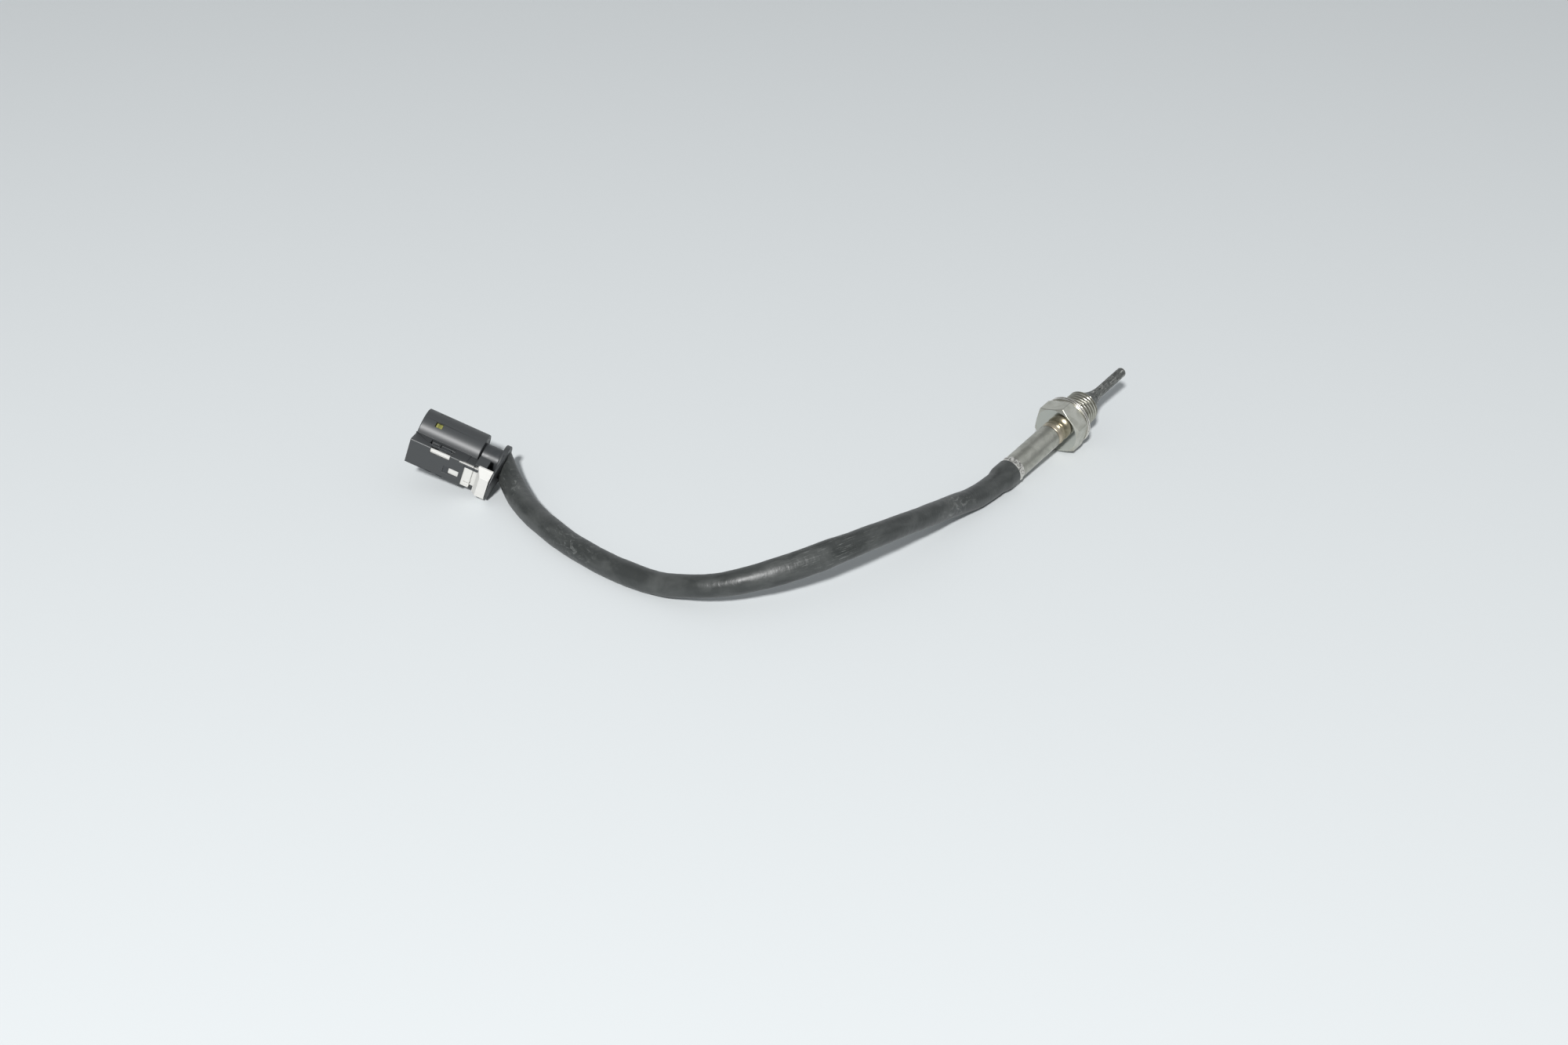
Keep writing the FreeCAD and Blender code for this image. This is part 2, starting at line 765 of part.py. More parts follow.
def plug_lock():
    """White sliding plate with a faceted thumb pad at its rear end."""
    pad_rear = wing_thickness + slide_gap
    pad_front = pad_rear + lock_pad_length
    pad_low = tray_wall_height + slide_gap
    pad_edge = pad_low + lock_pad_step
    plate = block(pad_rear, lock_front, lock_bottom, lock_top, -lock_half_width, lock_half_width)
    stem = block(pad_rear, pad_front, lock_bottom, pad_low + 0.1, -lock_half_width, lock_half_width)
    rim = block(pad_rear, pad_front, pad_low, pad_edge, -lock_pad_half_width, lock_pad_half_width)
    base = rectangle(pad_rear, pad_front, pad_edge, lock_pad_half_width)
    crown = rectangle(pad_rear + lock_pad_crown_inset, pad_front - lock_pad_crown_inset, lock_pad_top,
                      lock_pad_crown_half_width)
    pad = Part.makeLoft([base, crown], True)
    groove_low = lock_groove_side - lock_groove_width / 2
    groove = block(lock_groove_place, lock_groove_place + lock_groove_length, lock_bottom - 1, lock_top + 1,
                   groove_low, groove_low + lock_groove_width)
    return joined(plate, [stem, rim, pad]).cut(groove)


# Build every piece
keep_head("hex_body", hex_body())
keep_head("crush_washer", crush_washer())
keep_head("probe_sheath", probe_sheath())
keep_head("sensing_element", sensing_element())
keep_head("mineral_insulation", mineral_insulation())
keep_head("neck_tube", neck_tube())
keep_head("braze_collar", braze_collar())
keep_head("crimp_ferrule", crimp_ferrule())
keep_head("splice_insulator", splice_insulator())
keep_head("ferrule_grommet", ferrule_grommet())
keep_plug("plug_housing", plug_housing())
keep_plug("terminal_carrier", terminal_carrier())
keep_plug("interface_seal", interface_seal())
keep_plug("rear_plate", rear_plate())
keep_plug("plug_lock", plug_lock())

route = lead_route()
parts["lead_sleeve"] = lead_sleeve(route)
for level, side in (("upper", 1), ("lower", -1)):
    keep_head("element_wire_" + level, element_wire(side))
    keep_head("splice_" + level, splice(side))
    keep_plug("terminal_" + level, terminal(side))
    keep_plug("wire_seal_" + level, wire_seal(side))
    parts["lead_wire_" + level] = lead_wire(route, side)

# Report the bends of the lead and how its sleeve compares with section times length
centre_line = route_wire(route).Length
wall_area = math.pi / 4 * (sleeve_diameter ** 2 - sleeve_bore ** 2)
print("lead radii", [round(radius, 1) for radius in corner_radii(route)])
print("lead length", round(centre_line, 1))
print("sleeve volume", round(parts["lead_sleeve"].Volume), "section x length", round(wall_area * centre_line))

# Write one file for each piece
os.makedirs("parts", exist_ok=True)
for name, shape in parts.items():
    solids = shape.Solids
    kept = solids[0] if len(solids) == 1 else Part.makeCompound(solids)
    kept.exportStep("parts/" + name + ".step")
    print(name, "solids", len(solids), "valid", shape.isValid(), "volume", round(shape.Volume, 2))
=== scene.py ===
import json
import math

import bpy
import bmesh
import numpy as np
from mathutils import Matrix, Vector, noise


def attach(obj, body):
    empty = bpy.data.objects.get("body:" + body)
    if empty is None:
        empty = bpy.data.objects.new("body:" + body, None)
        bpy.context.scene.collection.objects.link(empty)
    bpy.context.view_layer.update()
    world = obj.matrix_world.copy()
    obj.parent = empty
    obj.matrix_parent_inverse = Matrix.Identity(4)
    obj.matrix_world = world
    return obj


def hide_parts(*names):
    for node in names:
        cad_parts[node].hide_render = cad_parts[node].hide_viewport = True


# Exhaust gas temperature sensor: surfaces, finishes, light and camera.
# Pieces are drawn in millimetres on the head's own line or the plug's own line, as the solids are:
# x along the piece, from the hexagon's rear face or from the plug's rear plate.
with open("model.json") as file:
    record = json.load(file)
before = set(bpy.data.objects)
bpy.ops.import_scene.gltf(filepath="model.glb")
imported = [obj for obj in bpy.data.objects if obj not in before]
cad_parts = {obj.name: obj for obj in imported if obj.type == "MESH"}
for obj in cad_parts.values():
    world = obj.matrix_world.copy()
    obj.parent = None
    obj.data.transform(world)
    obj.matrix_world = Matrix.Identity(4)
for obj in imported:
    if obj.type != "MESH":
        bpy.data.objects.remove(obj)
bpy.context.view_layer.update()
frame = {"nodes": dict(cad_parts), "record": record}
mm = 0.001
mounts = {mount["name"]: mount for mount in frame["record"]["mounts"]}


# Where the head and the plug lie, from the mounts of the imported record
placing = {
    "threadMiddle": 16.0,   # mm from the hexagon's rear face to the thread's middle
    "plugLength": 35.0,     # mm from the rear plate to the mouth
    "plugRoll": -7.4,       # degrees about the plug's own line
}


def placed(origin, along, across):
    along = Vector(along).normalized()
    third = along.cross(Vector(across)).normalized()
    turn = Matrix((along, third.cross(along), third)).transposed().to_4x4()
    return Matrix.Translation(origin) @ turn @ Matrix.Scale(mm, 4)


def mountLine(mount, back):
    along = Vector(mount["axis"])
    return Vector(mount["pos_m"]) - along * back * mm, along


def headPlacement():
    return placed(*mountLine(mounts["thread"], placing["threadMiddle"]), (0, 1, 0))


def plugPlacement():
    origin, along = mountLine(mounts["plug_socket"], placing["plugLength"])
    level = Vector((0, 0, 1)).cross(along).normalized()
    roll = math.radians(placing["plugRoll"])
    latch = level * math.cos(roll) + along.cross(level) * math.sin(roll)
    return placed(origin, along, latch)


headPlace = headPlacement()
plugPlace = plugPlacement()


# Mesh helpers
meshing = {
    "weld": 1e-4,          # mm, points nearer than this are joined
    "cornerShare": 0.45,   # the most that a rounding takes of the runs beside it
    "coarse": 8,           # how many times longer the runs are on hidden faces
}


def meshObject(name, mesh):
    piece = bpy.data.objects.new(name, mesh)
    bpy.context.scene.collection.objects.link(piece)
    return piece


def finalMesh(piece):
    bpy.context.view_layer.update()
    return bpy.data.meshes.new_from_object(piece.evaluated_get(bpy.context.evaluated_depsgraph_get()))


def gridMesh(name, rings, joinEnds):
    # rings is an array of closed rings of points; joinEnds closes the last ring onto the first
    count, around = rings.shape[:2]
    index = np.arange(count * around).reshape(count, around)
    after = np.roll(index, -1, axis=0)
    if not joinEnds:
        index, after = index[:-1], after[:-1]
    quads = np.stack([index, np.roll(index, -1, axis=1), np.roll(after, -1, axis=1), after], axis=-1)
    mesh = bpy.data.meshes.new(name)
    mesh.from_pydata(rings.reshape(-1, 3).tolist(), [], quads.reshape(-1, 4).tolist())
    return mesh


def closeUp(mesh, tiny=meshing["weld"]):
    work = bmesh.new()
    work.from_mesh(mesh)
    bmesh.ops.remove_doubles(work, verts=work.verts, dist=tiny)
    bmesh.ops.holes_fill(work, edges=[edge for edge in work.edges if edge.is_boundary], sides=0)
    bmesh.ops.recalc_face_normals(work, faces=work.faces)
    work.to_mesh(mesh)
    work.free()


def keepPlaces(mesh, places):
    # The drawn millimetre coordinates stay on the mesh, and the patterns read them
    made = mesh.attributes.new("drawn", "FLOAT_VECTOR", "POINT")
    made.data.foreach_set("vector", places.astype(np.float32).ravel())


def keepDrawn(mesh):
    drawn = np.zeros(len(mesh.vertices) * 3, np.float32)
    mesh.vertices.foreach_get("co", drawn)
    keepPlaces(mesh, drawn)


def smoothed(mesh, sharpAbove=38):
    mesh.shade_smooth()
    mesh.set_sharp_from_angle(angle=math.radians(sharpAbove))


def dressed(piece, finish, node, body="sensor"):
    piece.data.materials.clear()
    piece.data.materials.append(finishes[finish])
    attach(piece, body)
    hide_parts(node)
    return piece


def outlinePoints(outline, step, arcSteps=5, fineAbove=0.0):
    # outline is a list of (x, radius, rounding); runs nearer the line than fineAbove are inside
    # the piece and divided coarsely
    corners = [Vector(entry[:2]) for entry in outline]
    drawn = []
    for number, entry in enumerate(outline):
        at = corners[number]
        back = corners[number - 1] - at
        ahead = corners[(number + 1) % len(corners)] - at
        cut = min(entry[2], min(back.length, ahead.length) * meshing["cornerShare"])
        if cut <= 0:
            drawn.append(at)
            continue
        first = at + back.normalized() * cut
        last = at + ahead.normalized() * cut
        for part in range(arcSteps + 1):
            t = part / arcSteps
            drawn.append(first * (1 - t) ** 2 + at * 2 * t * (1 - t) + last * t ** 2)
    fine = []
    for start, end in zip(drawn, drawn[1:] + drawn[:1]):
        run = step * meshing["coarse"] if max(start[1], end[1]) < fineAbove else step
        parts = max(1, math.ceil((end - start).length / run))
        fine += [start.lerp(end, part / parts) for part in range(parts)]
    return np.array(fine)


def turnedMesh(name, points, sides, shape=None):
    # Outline turned about the line; shape(x, angle, radius) gives the final radius
    angle = np.linspace(0, 2 * np.pi, sides, endpoint=False)[None, :]
    x = points[:, :1] + 0 * angle
    radius = np.maximum(points[:, 1:2] + 0 * angle, 0)
    if shape:
        radius = shape(x, angle + 0 * x, radius)
    mesh = gridMesh(name, np.stack([x, radius * np.cos(angle), radius * np.sin(angle)], axis=-1), True)
    closeUp(mesh)
    return mesh


def spun(name, outline, sizes, shape, fineAbove=0.0):
    # A piece on the head's line; sizes is its dictionary, with its sides and its step in mm
    points = outlinePoints(outline, sizes["step"], fineAbove=fineAbove)
    mesh = turnedMesh(name, points, sizes["sides"], shape)
    keepDrawn(mesh)
    mesh.transform(headPlace)
    smoothed(mesh)
    return meshObject(name, mesh)


def ripple(x, angle, radius, size, seed):
    # Smooth noise on the round surface, between -1 and 1
    places = np.stack([x, radius * np.cos(angle), radius * np.sin(angle)], axis=-1) / size + seed
    flat = places.reshape(-1, 3)
    values = np.fromiter((noise.noise(place) for place in flat), float, len(flat))
    return values.reshape(x.shape)


def softMin(a, b, width):
    near = np.maximum(width - np.abs(a - b), 0) / width
    return np.minimum(a, b) - near * near * width / 4


def eased(share):
    return share * share * (3 - 2 * share)


print("helpers ready")


# Shading helpers
def newMaterial(name, roughness=0.5, metallic=0.0, specular=0.5):
    material = bpy.data.materials.new(name)
    material.use_nodes = True
    shader = material.node_tree.nodes["Principled BSDF"]
    shader.inputs["Roughness"].default_value = roughness
    shader.inputs["Metallic"].default_value = metallic
    shader.inputs["Specular IOR Level"].default_value = specular
    return material, material.node_tree


def put(tree, socket, value):
    if isinstance(value, bpy.types.NodeSocket):
        tree.links.new(value, socket)
    else:
        socket.default_value = value


def surfaced(material, colour, rough, normal):
    tree = material.node_tree
    inputs = tree.nodes["Principled BSDF"].inputs
    for socket, value in (("Base Color", colour), ("Roughness", rough), ("Normal", normal)):
        put(tree, inputs[socket], value)
    return material


def add(tree, kind, inputs, **settings):
    node = tree.nodes.new("ShaderNode" + kind)
    for key, value in settings.items():
        setattr(node, key, value)
    for key, value in inputs.items():
        put(tree, node.inputs[key], value)
    return node


def drawnPlace(tree, stretch=(1, 1, 1)):
    place = add(tree, "Attribute", {}, attribute_name="drawn").outputs["Vector"]
    return add(tree, "Mapping", {"Vector": place, "Scale": stretch}).outputs["Vector"]


def worldPlace(tree, stretch=(1, 1, 1)):
    place = add(tree, "TexCoord", {}).outputs["Object"]
    scale = [value / mm for value in stretch]
    return add(tree, "Mapping", {"Vector": place, "Scale": scale}).outputs["Vector"]


def cloud(tree, place, scale, detail=3.0, roughness=0.55, distortion=0.0):
    node = add(tree, "TexNoise", {
        "Vector": place, "Scale": scale, "Detail": detail, "Roughness": roughness, "Distortion": distortion,
    })
    return node.outputs["Fac"]


def ranged(tree, value, low, high, outLow=0.0, outHigh=1.0):
    node = add(tree, "MapRange", {
        "Value": value, "From Min": low, "From Max": high, "To Min": outLow, "To Max": outHigh,
    })
    return node.outputs["Result"]


def reckoned(tree, operation, *values):
    return add(tree, "Math", dict(enumerate(values)), operation=operation).outputs[0]


def times(tree, a, b):
    return reckoned(tree, "MULTIPLY", a, b)


def blended(tree, factor, first, second):
    return add(tree, "Mix", {0: factor, 6: first, 7: second}, data_type="RGBA").outputs[2]


def mixed(tree, factor, first, second):
    return add(tree, "Mix", {0: factor, 2: first, 3: second}, data_type="FLOAT").outputs[0]


def bumped(tree, height, strength, depth, normal=None):
    # depth is in mm
    inputs = {"Height": height, "Strength": strength, "Distance": depth * mm}
    if normal is not None:
        inputs["Normal"] = normal
    return add(tree, "Bump", inputs).outputs["Normal"]


def tone(red, green, blue):
    return (red, green, blue, 1.0)


# Finishes
metalTones = {
    "nickel": (tone(0.57, 0.565, 0.51), tone(0.39, 0.39, 0.335)),   # bright and stained
    "washer": (tone(0.80, 0.78, 0.74), tone(0.39, 0.39, 0.335)),
    "ferrule": (tone(0.47, 0.465, 0.415), tone(0.24, 0.24, 0.21)),
    "braze": (tone(0.64, 0.57, 0.45), tone(0.40, 0.35, 0.26)), "dimple": tone(0.66, 0.64, 0.60),
    "soot": tone(0.10, 0.105, 0.10), "scale": tone(0.27, 0.275, 0.26), "bareProbe": tone(0.66, 0.65, 0.61),
    # The thread roots' tone below is painted shade, not a colour of the metal
    "hexFace": tone(0.50, 0.51, 0.47), "paintedRootShade": tone(0.20, 0.19, 0.155),
}
# Stains and polished bands, and the painted shade in the thread's roots
metalWearAndShade = {
    "stained": (0.38, 0.64),       # the part of the pattern over which stains come in
    "stainRoughness": 0.22, "polishedRoughness": 0.11,
    "bandEdge": 0.02,              # mm, half the run over which a polished band comes in
    "rootAndCrest": (6.3, 6.9),    # mm from the line, from the thread's roots, where the painted shade is full, to its crests, where it is gone
    "threadRear": (12.4, 12.8),    # mm along the line, where the painted shade in the thread's roots comes in
    # How strongly the painted shade darkens the thread's roots
    "rootDarkness": 0.85,
}


def turnedMetal(name, tones, roughness, grain, stain, pits=0.0, polished=None, shadedRoots=False):
    # Turned or drawn metal: fine rings round the line, soft stains and a few pits
    # polished is a smooth band: where it starts and ends in mm, and its tone
    # shadedRoots paints shade into the thread's roots, darkening their colour
    material, tree = newMaterial(name, metallic=1.0)
    place = drawnPlace(tree)
    along = add(tree, "SeparateXYZ", {0: place}).outputs[0]
    rings = cloud(tree, drawnPlace(tree, (grain, 0.5, 0.5)), 0.6, detail=4)
    patches = cloud(tree, place, 0.23, detail=5, distortion=0.6)
    stained = ranged(tree, patches, *metalWearAndShade["stained"], 0.0, stain)
    colour = blended(tree, stained, *metalTones[tones])
    rough = reckoned(tree, "ADD", ranged(tree, rings, 0.3, 0.7, roughness * 0.75, roughness * 1.2),
                     times(tree, stained, metalWearAndShade["stainRoughness"]))
    if polished:
        start, end, fresh = polished
        edge = metalWearAndShade["bandEdge"]
        band = times(tree, ranged(tree, along, start - edge, start + edge),
                     ranged(tree, along, end - edge, end + edge, 1.0, 0.0))
        colour = blended(tree, band, colour, metalTones[fresh])
        rough = mixed(tree, band, rough, metalWearAndShade["polishedRoughness"])
    # Painted shade: the thread's roots are darkened in colour, standing in for the shade in the grooves
    if shadedRoots:
        away = add(tree, "VectorMath", {0: drawnPlace(tree, (0, 1, 1))}, operation="LENGTH").outputs["Value"]
        deep = times(tree, ranged(tree, away, *metalWearAndShade["rootAndCrest"], 1.0, 0.0),
                     ranged(tree, along, *metalWearAndShade["threadRear"]))
        colour = blended(tree, times(tree, deep, metalWearAndShade["rootDarkness"]), colour, metalTones["paintedRootShade"])
    normal = bumped(tree, rings, 0.25, 0.03)
    if pits:
        holes = ranged(tree, cloud(tree, place, 3.2, detail=2), 0.56, 0.68)
        normal = bumped(tree, holes, pits, -0.06, normal)
    return surfaced(material, colour, rough, normal)


def sootedMetal(name):
    # Burnt sheath: dark scale, with soot rubbed off in lengthwise streaks and specks
    material, tree = newMaterial(name, metallic=1.0)
    scale = cloud(tree, drawnPlace(tree), 0.55, detail=6, roughness=0.65)
    body = blended(tree, ranged(tree, scale, 0.34, 0.70), metalTones["soot"], metalTones["scale"])
    streaks = cloud(tree, drawnPlace(tree, (0.22, 1.9, 1.9)), 0.9, detail=5, roughness=0.6)
    specks = cloud(tree, drawnPlace(tree), 2.6, detail=3)
    rubbed = times(tree, ranged(tree, streaks, 0.52, 0.64), ranged(tree, specks, 0.44, 0.58))
    return surfaced(material, blended(tree, rubbed, body, metalTones["bareProbe"]),
                    ranged(tree, rubbed, 0, 1, 0.52, 0.22), bumped(tree, scale, 0.5, 0.08))


def mouldedPlastic(name, body, light, roughness, place=drawnPlace, scuff=0.35):
    # Glass-filled moulding: fine grain, a faint flow pattern and dusty scuffs
    material, tree = newMaterial(name)
    flow = cloud(tree, place(tree, (0.35, 1, 1)), 0.35, detail=5, distortion=0.4)
    grain = cloud(tree, place(tree), 7.0, detail=3)
    scuffs = times(tree, ranged(tree, flow, 0.52, 0.72), ranged(tree, grain, 0.42, 0.62))
    return surfaced(material, blended(tree, times(tree, scuffs, scuff), body, light),
                    ranged(tree, flow, 0.3, 0.7, roughness * 0.85, roughness * 1.15),
                    bumped(tree, grain, 0.25, 0.03))


def softRubber(name, body, light, roughness):
    material, tree = newMaterial(name, specular=0.35)
    place = worldPlace(tree)
    patches = cloud(tree, place, 0.5, detail=4)
    return surfaced(material, blended(tree, ranged(tree, patches, 0.35, 0.7), body, light),
                    ranged(tree, patches, 0.3, 0.7, roughness, roughness * 1.15),
                    bumped(tree, cloud(tree, place, 6.0), 0.2, 0.04))


def plainMetal(name, bright, dark, roughness):
    material, tree = newMaterial(name, metallic=1.0)
    place = worldPlace(tree)
    patches = cloud(tree, place, 0.6, detail=4)
    return surfaced(material, blended(tree, ranged(tree, patches, 0.4, 0.7), bright, dark),
                    ranged(tree, patches, 0.3, 0.7, roughness, roughness * 1.4),
                    bumped(tree, cloud(tree, place, 4.0), 0.15, 0.04))


rubber = {
    "body": tone(0.030, 0.033, 0.032), "worn": tone(0.062, 0.066, 0.064), "dust": tone(0.26, 0.27, 0.26),
    "dustPlaces": (14.0, 62.0, 236.0),   # mm along the lead from the plug, where grey scuffs gather
    "dustReach": 17.0, "dustStrength": 0.95, "dustRoughness": 0.35,
    "rubbedPlace": 170.0,                # mm along the lead, the shiny rubbed stretch on the bulge
    "rubbedReach": 27.0, "rubbedStrength": 0.5, "shinyShare": 0.7, "shinyRoughness": 0.20,
    "roughness": (0.34, 0.46),
}


def nearPlace(tree, along, place, reach):
    # 1 at a place along the lead, falling to 0 at its reach
    away = reckoned(tree, "ABSOLUTE", reckoned(tree, "ADD", along, -place))
    return ranged(tree, away, 0, reach, 1.0, 0.0)


def sleeveRubber(name):
    # Satin sleeve: worn patches, grey dust in scuffs, one shiny rubbed stretch and fine wrinkles
    material, tree = newMaterial(name)
    place = drawnPlace(tree)
    along = add(tree, "SeparateXYZ", {0: place}).outputs[0]
    patches = cloud(tree, drawnPlace(tree, (0.5, 1, 1)), 0.16, detail=5, distortion=0.5)
    colour = blended(tree, ranged(tree, patches, 0.42, 0.68), rubber["body"], rubber["worn"])
    near = [nearPlace(tree, along, dust, rubber["dustReach"]) for dust in rubber["dustPlaces"]]
    dusty = near[0]
    for one in near[1:]:
        dusty = reckoned(tree, "MAXIMUM", dusty, one)
    smear = cloud(tree, drawnPlace(tree, (0.6, 1, 1)), 0.42, detail=6, roughness=0.7, distortion=1.2)
    dusty = times(tree, times(tree, dusty, ranged(tree, smear, 0.54, 0.74)), rubber["dustStrength"])
    colour = blended(tree, dusty, colour, rubber["dust"])
    scratches = cloud(tree, drawnPlace(tree, (0.10, 1.6, 1.6)), 1.6, detail=5, roughness=0.7)
    rubbed = times(tree, nearPlace(tree, along, rubber["rubbedPlace"], rubber["rubbedReach"]),
                   ranged(tree, scratches, 0.56, 0.68))
    colour = blended(tree, times(tree, rubbed, rubber["rubbedStrength"]), colour, rubber["dust"])
    rough = ranged(tree, patches, 0.3, 0.7, *rubber["roughness"])
    rough = reckoned(tree, "ADD", rough, times(tree, dusty, rubber["dustRoughness"]))
    shinyReach = rubber["rubbedReach"] * rubber["shinyShare"]
    shiny = nearPlace(tree, along, rubber["rubbedPlace"], shinyReach)
    rough = mixed(tree, shiny, rough, rubber["shinyRoughness"])
    wrinkles = cloud(tree, drawnPlace(tree, (1.0, 0.5, 0.5)), 0.55, detail=4, distortion=0.7)
    normal = bumped(tree, wrinkles, 0.35, 0.4)
    normal = bumped(tree, cloud(tree, place, 5.5, detail=3), 0.25, 0.05, normal)
    normal = bumped(tree, rubbed, 0.5, 0.06, normal)
    return surfaced(material, colour, rough, normal)


finishes = {
    # The hexagon's thread gets painted shade in its roots
    "hex": turnedMetal("nickelPlate", "nickel", 0.30, grain=24, stain=0.6,
                       polished=(-1.0, 0.05, "hexFace"), shadedRoots=True),
    "washer": turnedMetal("rolledSteel", "washer", 0.22, grain=10, stain=0.25),
    "ferrule": turnedMetal("ferrulePlate", "ferrule", 0.32, grain=3, stain=0.45, pits=0.25,
                           polished=(-34.0, -29.9, "dimple")),
    "braze": turnedMetal("goldBraze", "braze", 0.30, grain=1.5, stain=0.7),
    "probe": sootedMetal("burntSheath"),
    "sleeve": sleeveRubber("blackSleeve"),
    "plastic": mouldedPlastic("blackMoulding", tone(0.044, 0.047, 0.049), tone(0.13, 0.135, 0.135), 0.43),
    "carrier": mouldedPlastic("carrierMoulding", tone(0.034, 0.037, 0.040), tone(0.10, 0.10, 0.10), 0.40,
                              place=worldPlace),
    "white": mouldedPlastic("whiteMoulding", tone(0.62, 0.615, 0.59), tone(0.50, 0.485, 0.44), 0.42,
                            scuff=0.5),
    "olive": softRubber("oliveRubber", tone(0.24, 0.24, 0.065), tone(0.31, 0.31, 0.10), 0.45),
    "black": softRubber("blackRubber", tone(0.022, 0.022, 0.022), tone(0.05, 0.05, 0.05), 0.6),
    "jacket": softRubber("wireJacket", tone(0.30, 0.28, 0.25), tone(0.38, 0.36, 0.33), 0.5),
    "ceramic": softRubber("ceramic", tone(0.72, 0.69, 0.63), tone(0.80, 0.77, 0.72), 0.65),
    "tinned": plainMetal("tinnedBrass", tone(0.74, 0.72, 0.66), tone(0.55, 0.50, 0.40), 0.28),
    "drawn": plainMetal("drawnAlloy", tone(0.58, 0.55, 0.50), tone(0.40, 0.37, 0.33), 0.30),
    "neck": plainMetal("neckSteel", tone(0.42, 0.36, 0.28), tone(0.25, 0.21, 0.16), 0.34),
}
print("materials ready")


# Pieces of the solids that keep their own shape get a finish only
kept = {
    "neck_tube": "neck", "sensing_element": "ceramic", "mineral_insulation": "ceramic",
    "splice_insulator": "ceramic", "element_wire_upper": "drawn", "element_wire_lower": "drawn",
    "splice_upper": "drawn", "splice_lower": "drawn", "ferrule_grommet": "black",
    "lead_wire_upper": "jacket", "lead_wire_lower": "jacket", "terminal_upper": "tinned",
    "terminal_lower": "tinned", "wire_seal_upper": "olive", "wire_seal_lower": "olive",
    "interface_seal": "olive", "terminal_carrier": "carrier",
}


for node, finish in kept.items():
    for slot in frame["nodes"][node].material_slots:
        slot.material = finishes[finish]


# Hexagon, flange and threaded shank
hexagon = {
    "acrossFlats": 19.0, "length": 7.4, "faceRadius": 9.3, "frontFaceRadius": 9.55, "chamferAngle": 25.0,
    "cornerTurn": 44.0, "cornerSoft": 0.35, "edgeSoft": 0.22,
    "cornerSpare": 0.4,    # mm that the turned blank is larger than the corners
    "flangeRadius": 9.6, "flangeEnd": 7.8, "reliefRadius": 6.1, "reliefEnd": 12.3,
    "threadRadius": 7.0, "threadEnd": 20.3, "pitch": 1.5, "threadDepth": 0.82, "threadLowest": 6.0,
    "crestHalf": 1 / 16, "rootFrom": 3 / 8,   # shares of the pitch, from the middle of a crest
    "endChamfer": 0.6, "endRun": 1.0, "endRadius": 6.05,
    "boreRadius": 2.1, "socketRadius": 4.05, "socketDepth": 1.5,
    "sides": 276, "step": 0.14, "hiddenBelow": 4.15,
}


def hexRadius(angle):
    # Radius to the flat that faces the angle, softened into the flats beside it
    sixth = np.pi / 3
    apart = (angle - math.radians(hexagon["cornerTurn"])) % sixth
    apothem = hexagon["acrossFlats"] / 2
    radius = apothem / np.cos(apart - sixth / 2)
    for turn in (sixth / 2, -sixth * 1.5):
        beside = apothem / np.maximum(np.cos(apart + turn), 0.2)
        radius = softMin(radius, beside, hexagon["cornerSoft"])
    return radius


def threadProfile(x, angle):
    phase = x / hexagon["pitch"] - angle / (2 * np.pi)
    away = np.abs(phase - np.round(phase))
    flank = hexagon["rootFrom"] - hexagon["crestHalf"]
    slope = np.clip((away - hexagon["crestHalf"]) / flank, 0, 1)
    return hexagon["threadRadius"] - hexagon["threadDepth"] * (0.5 * slope + 0.5 * eased(slope))


def hexShape(x, angle, radius):
    flat = softMin(radius, hexRadius(angle), hexagon["edgeSoft"])
    shaped = np.where(x < hexagon["length"] + 0.01, flat, radius)
    rear = hexagon["reliefRadius"] + (x - hexagon["reliefEnd"])
    front = hexagon["threadRadius"] - hexagon["endChamfer"] + (hexagon["threadEnd"] - x)
    thread = np.minimum(threadProfile(x, angle), np.minimum(rear, front))
    onThread = (x > hexagon["reliefEnd"]) & (radius > hexagon["reliefRadius"])
    return np.where(onThread, np.maximum(thread, hexagon["threadLowest"]), shaped)


def hexBody():
    corner = hexagon["acrossFlats"] / math.sqrt(3) + hexagon["cornerSpare"]
    run = (corner - hexagon["faceRadius"]) * math.tan(math.radians(hexagon["chamferAngle"]))
    length = hexagon["length"]
    flange = hexagon["flangeRadius"]
    relief = hexagon["reliefRadius"]
    thread = hexagon["threadRadius"]
    end = hexagon["threadEnd"]
    bore = hexagon["boreRadius"]
    outline = [
        (0, hexagon["socketRadius"], 0.1), (0, hexagon["faceRadius"], 0.12), (run, corner, 0),
        (length - run, corner, 0), (length, hexagon["frontFaceRadius"], 0),
        (length, flange, 0.2), (hexagon["flangeEnd"], flange, 0.25),
        (hexagon["flangeEnd"], relief, 0.2), (hexagon["reliefEnd"], relief, 0),
        (hexagon["reliefEnd"] + thread - relief, thread, 0), (end - hexagon["endRun"], thread, 0),
        (end, hexagon["endRadius"], 0.1), (end, bore, 0.1),
        (hexagon["socketDepth"], bore, 0), (hexagon["socketDepth"], hexagon["socketRadius"], 0),
    ]
    piece = spun("hexBody", outline, hexagon, hexShape, fineAbove=hexagon["hiddenBelow"])
    dressed(piece, "hex", "hex_body")


# Folded sealing washer
washer = {
    "rear": 7.8, "thickness": 1.5, "radius": 10.25, "bore": 6.3, "foldDepth": 0.8, "foldWidth": 0.4,
    "rimRound": 0.3, "foldRound": 0.2,
    "wave": 0.05, "waves": 3, "waveAbove": 7.3,   # the rim is wavy, and the bore isn't
    "sides": 200, "step": 0.35,
}


def washerShape(x, angle, radius):
    wave = washer["wave"] * np.sin(washer["waves"] * angle + x)
    return radius + np.where(radius > washer["waveAbove"], wave, 0)


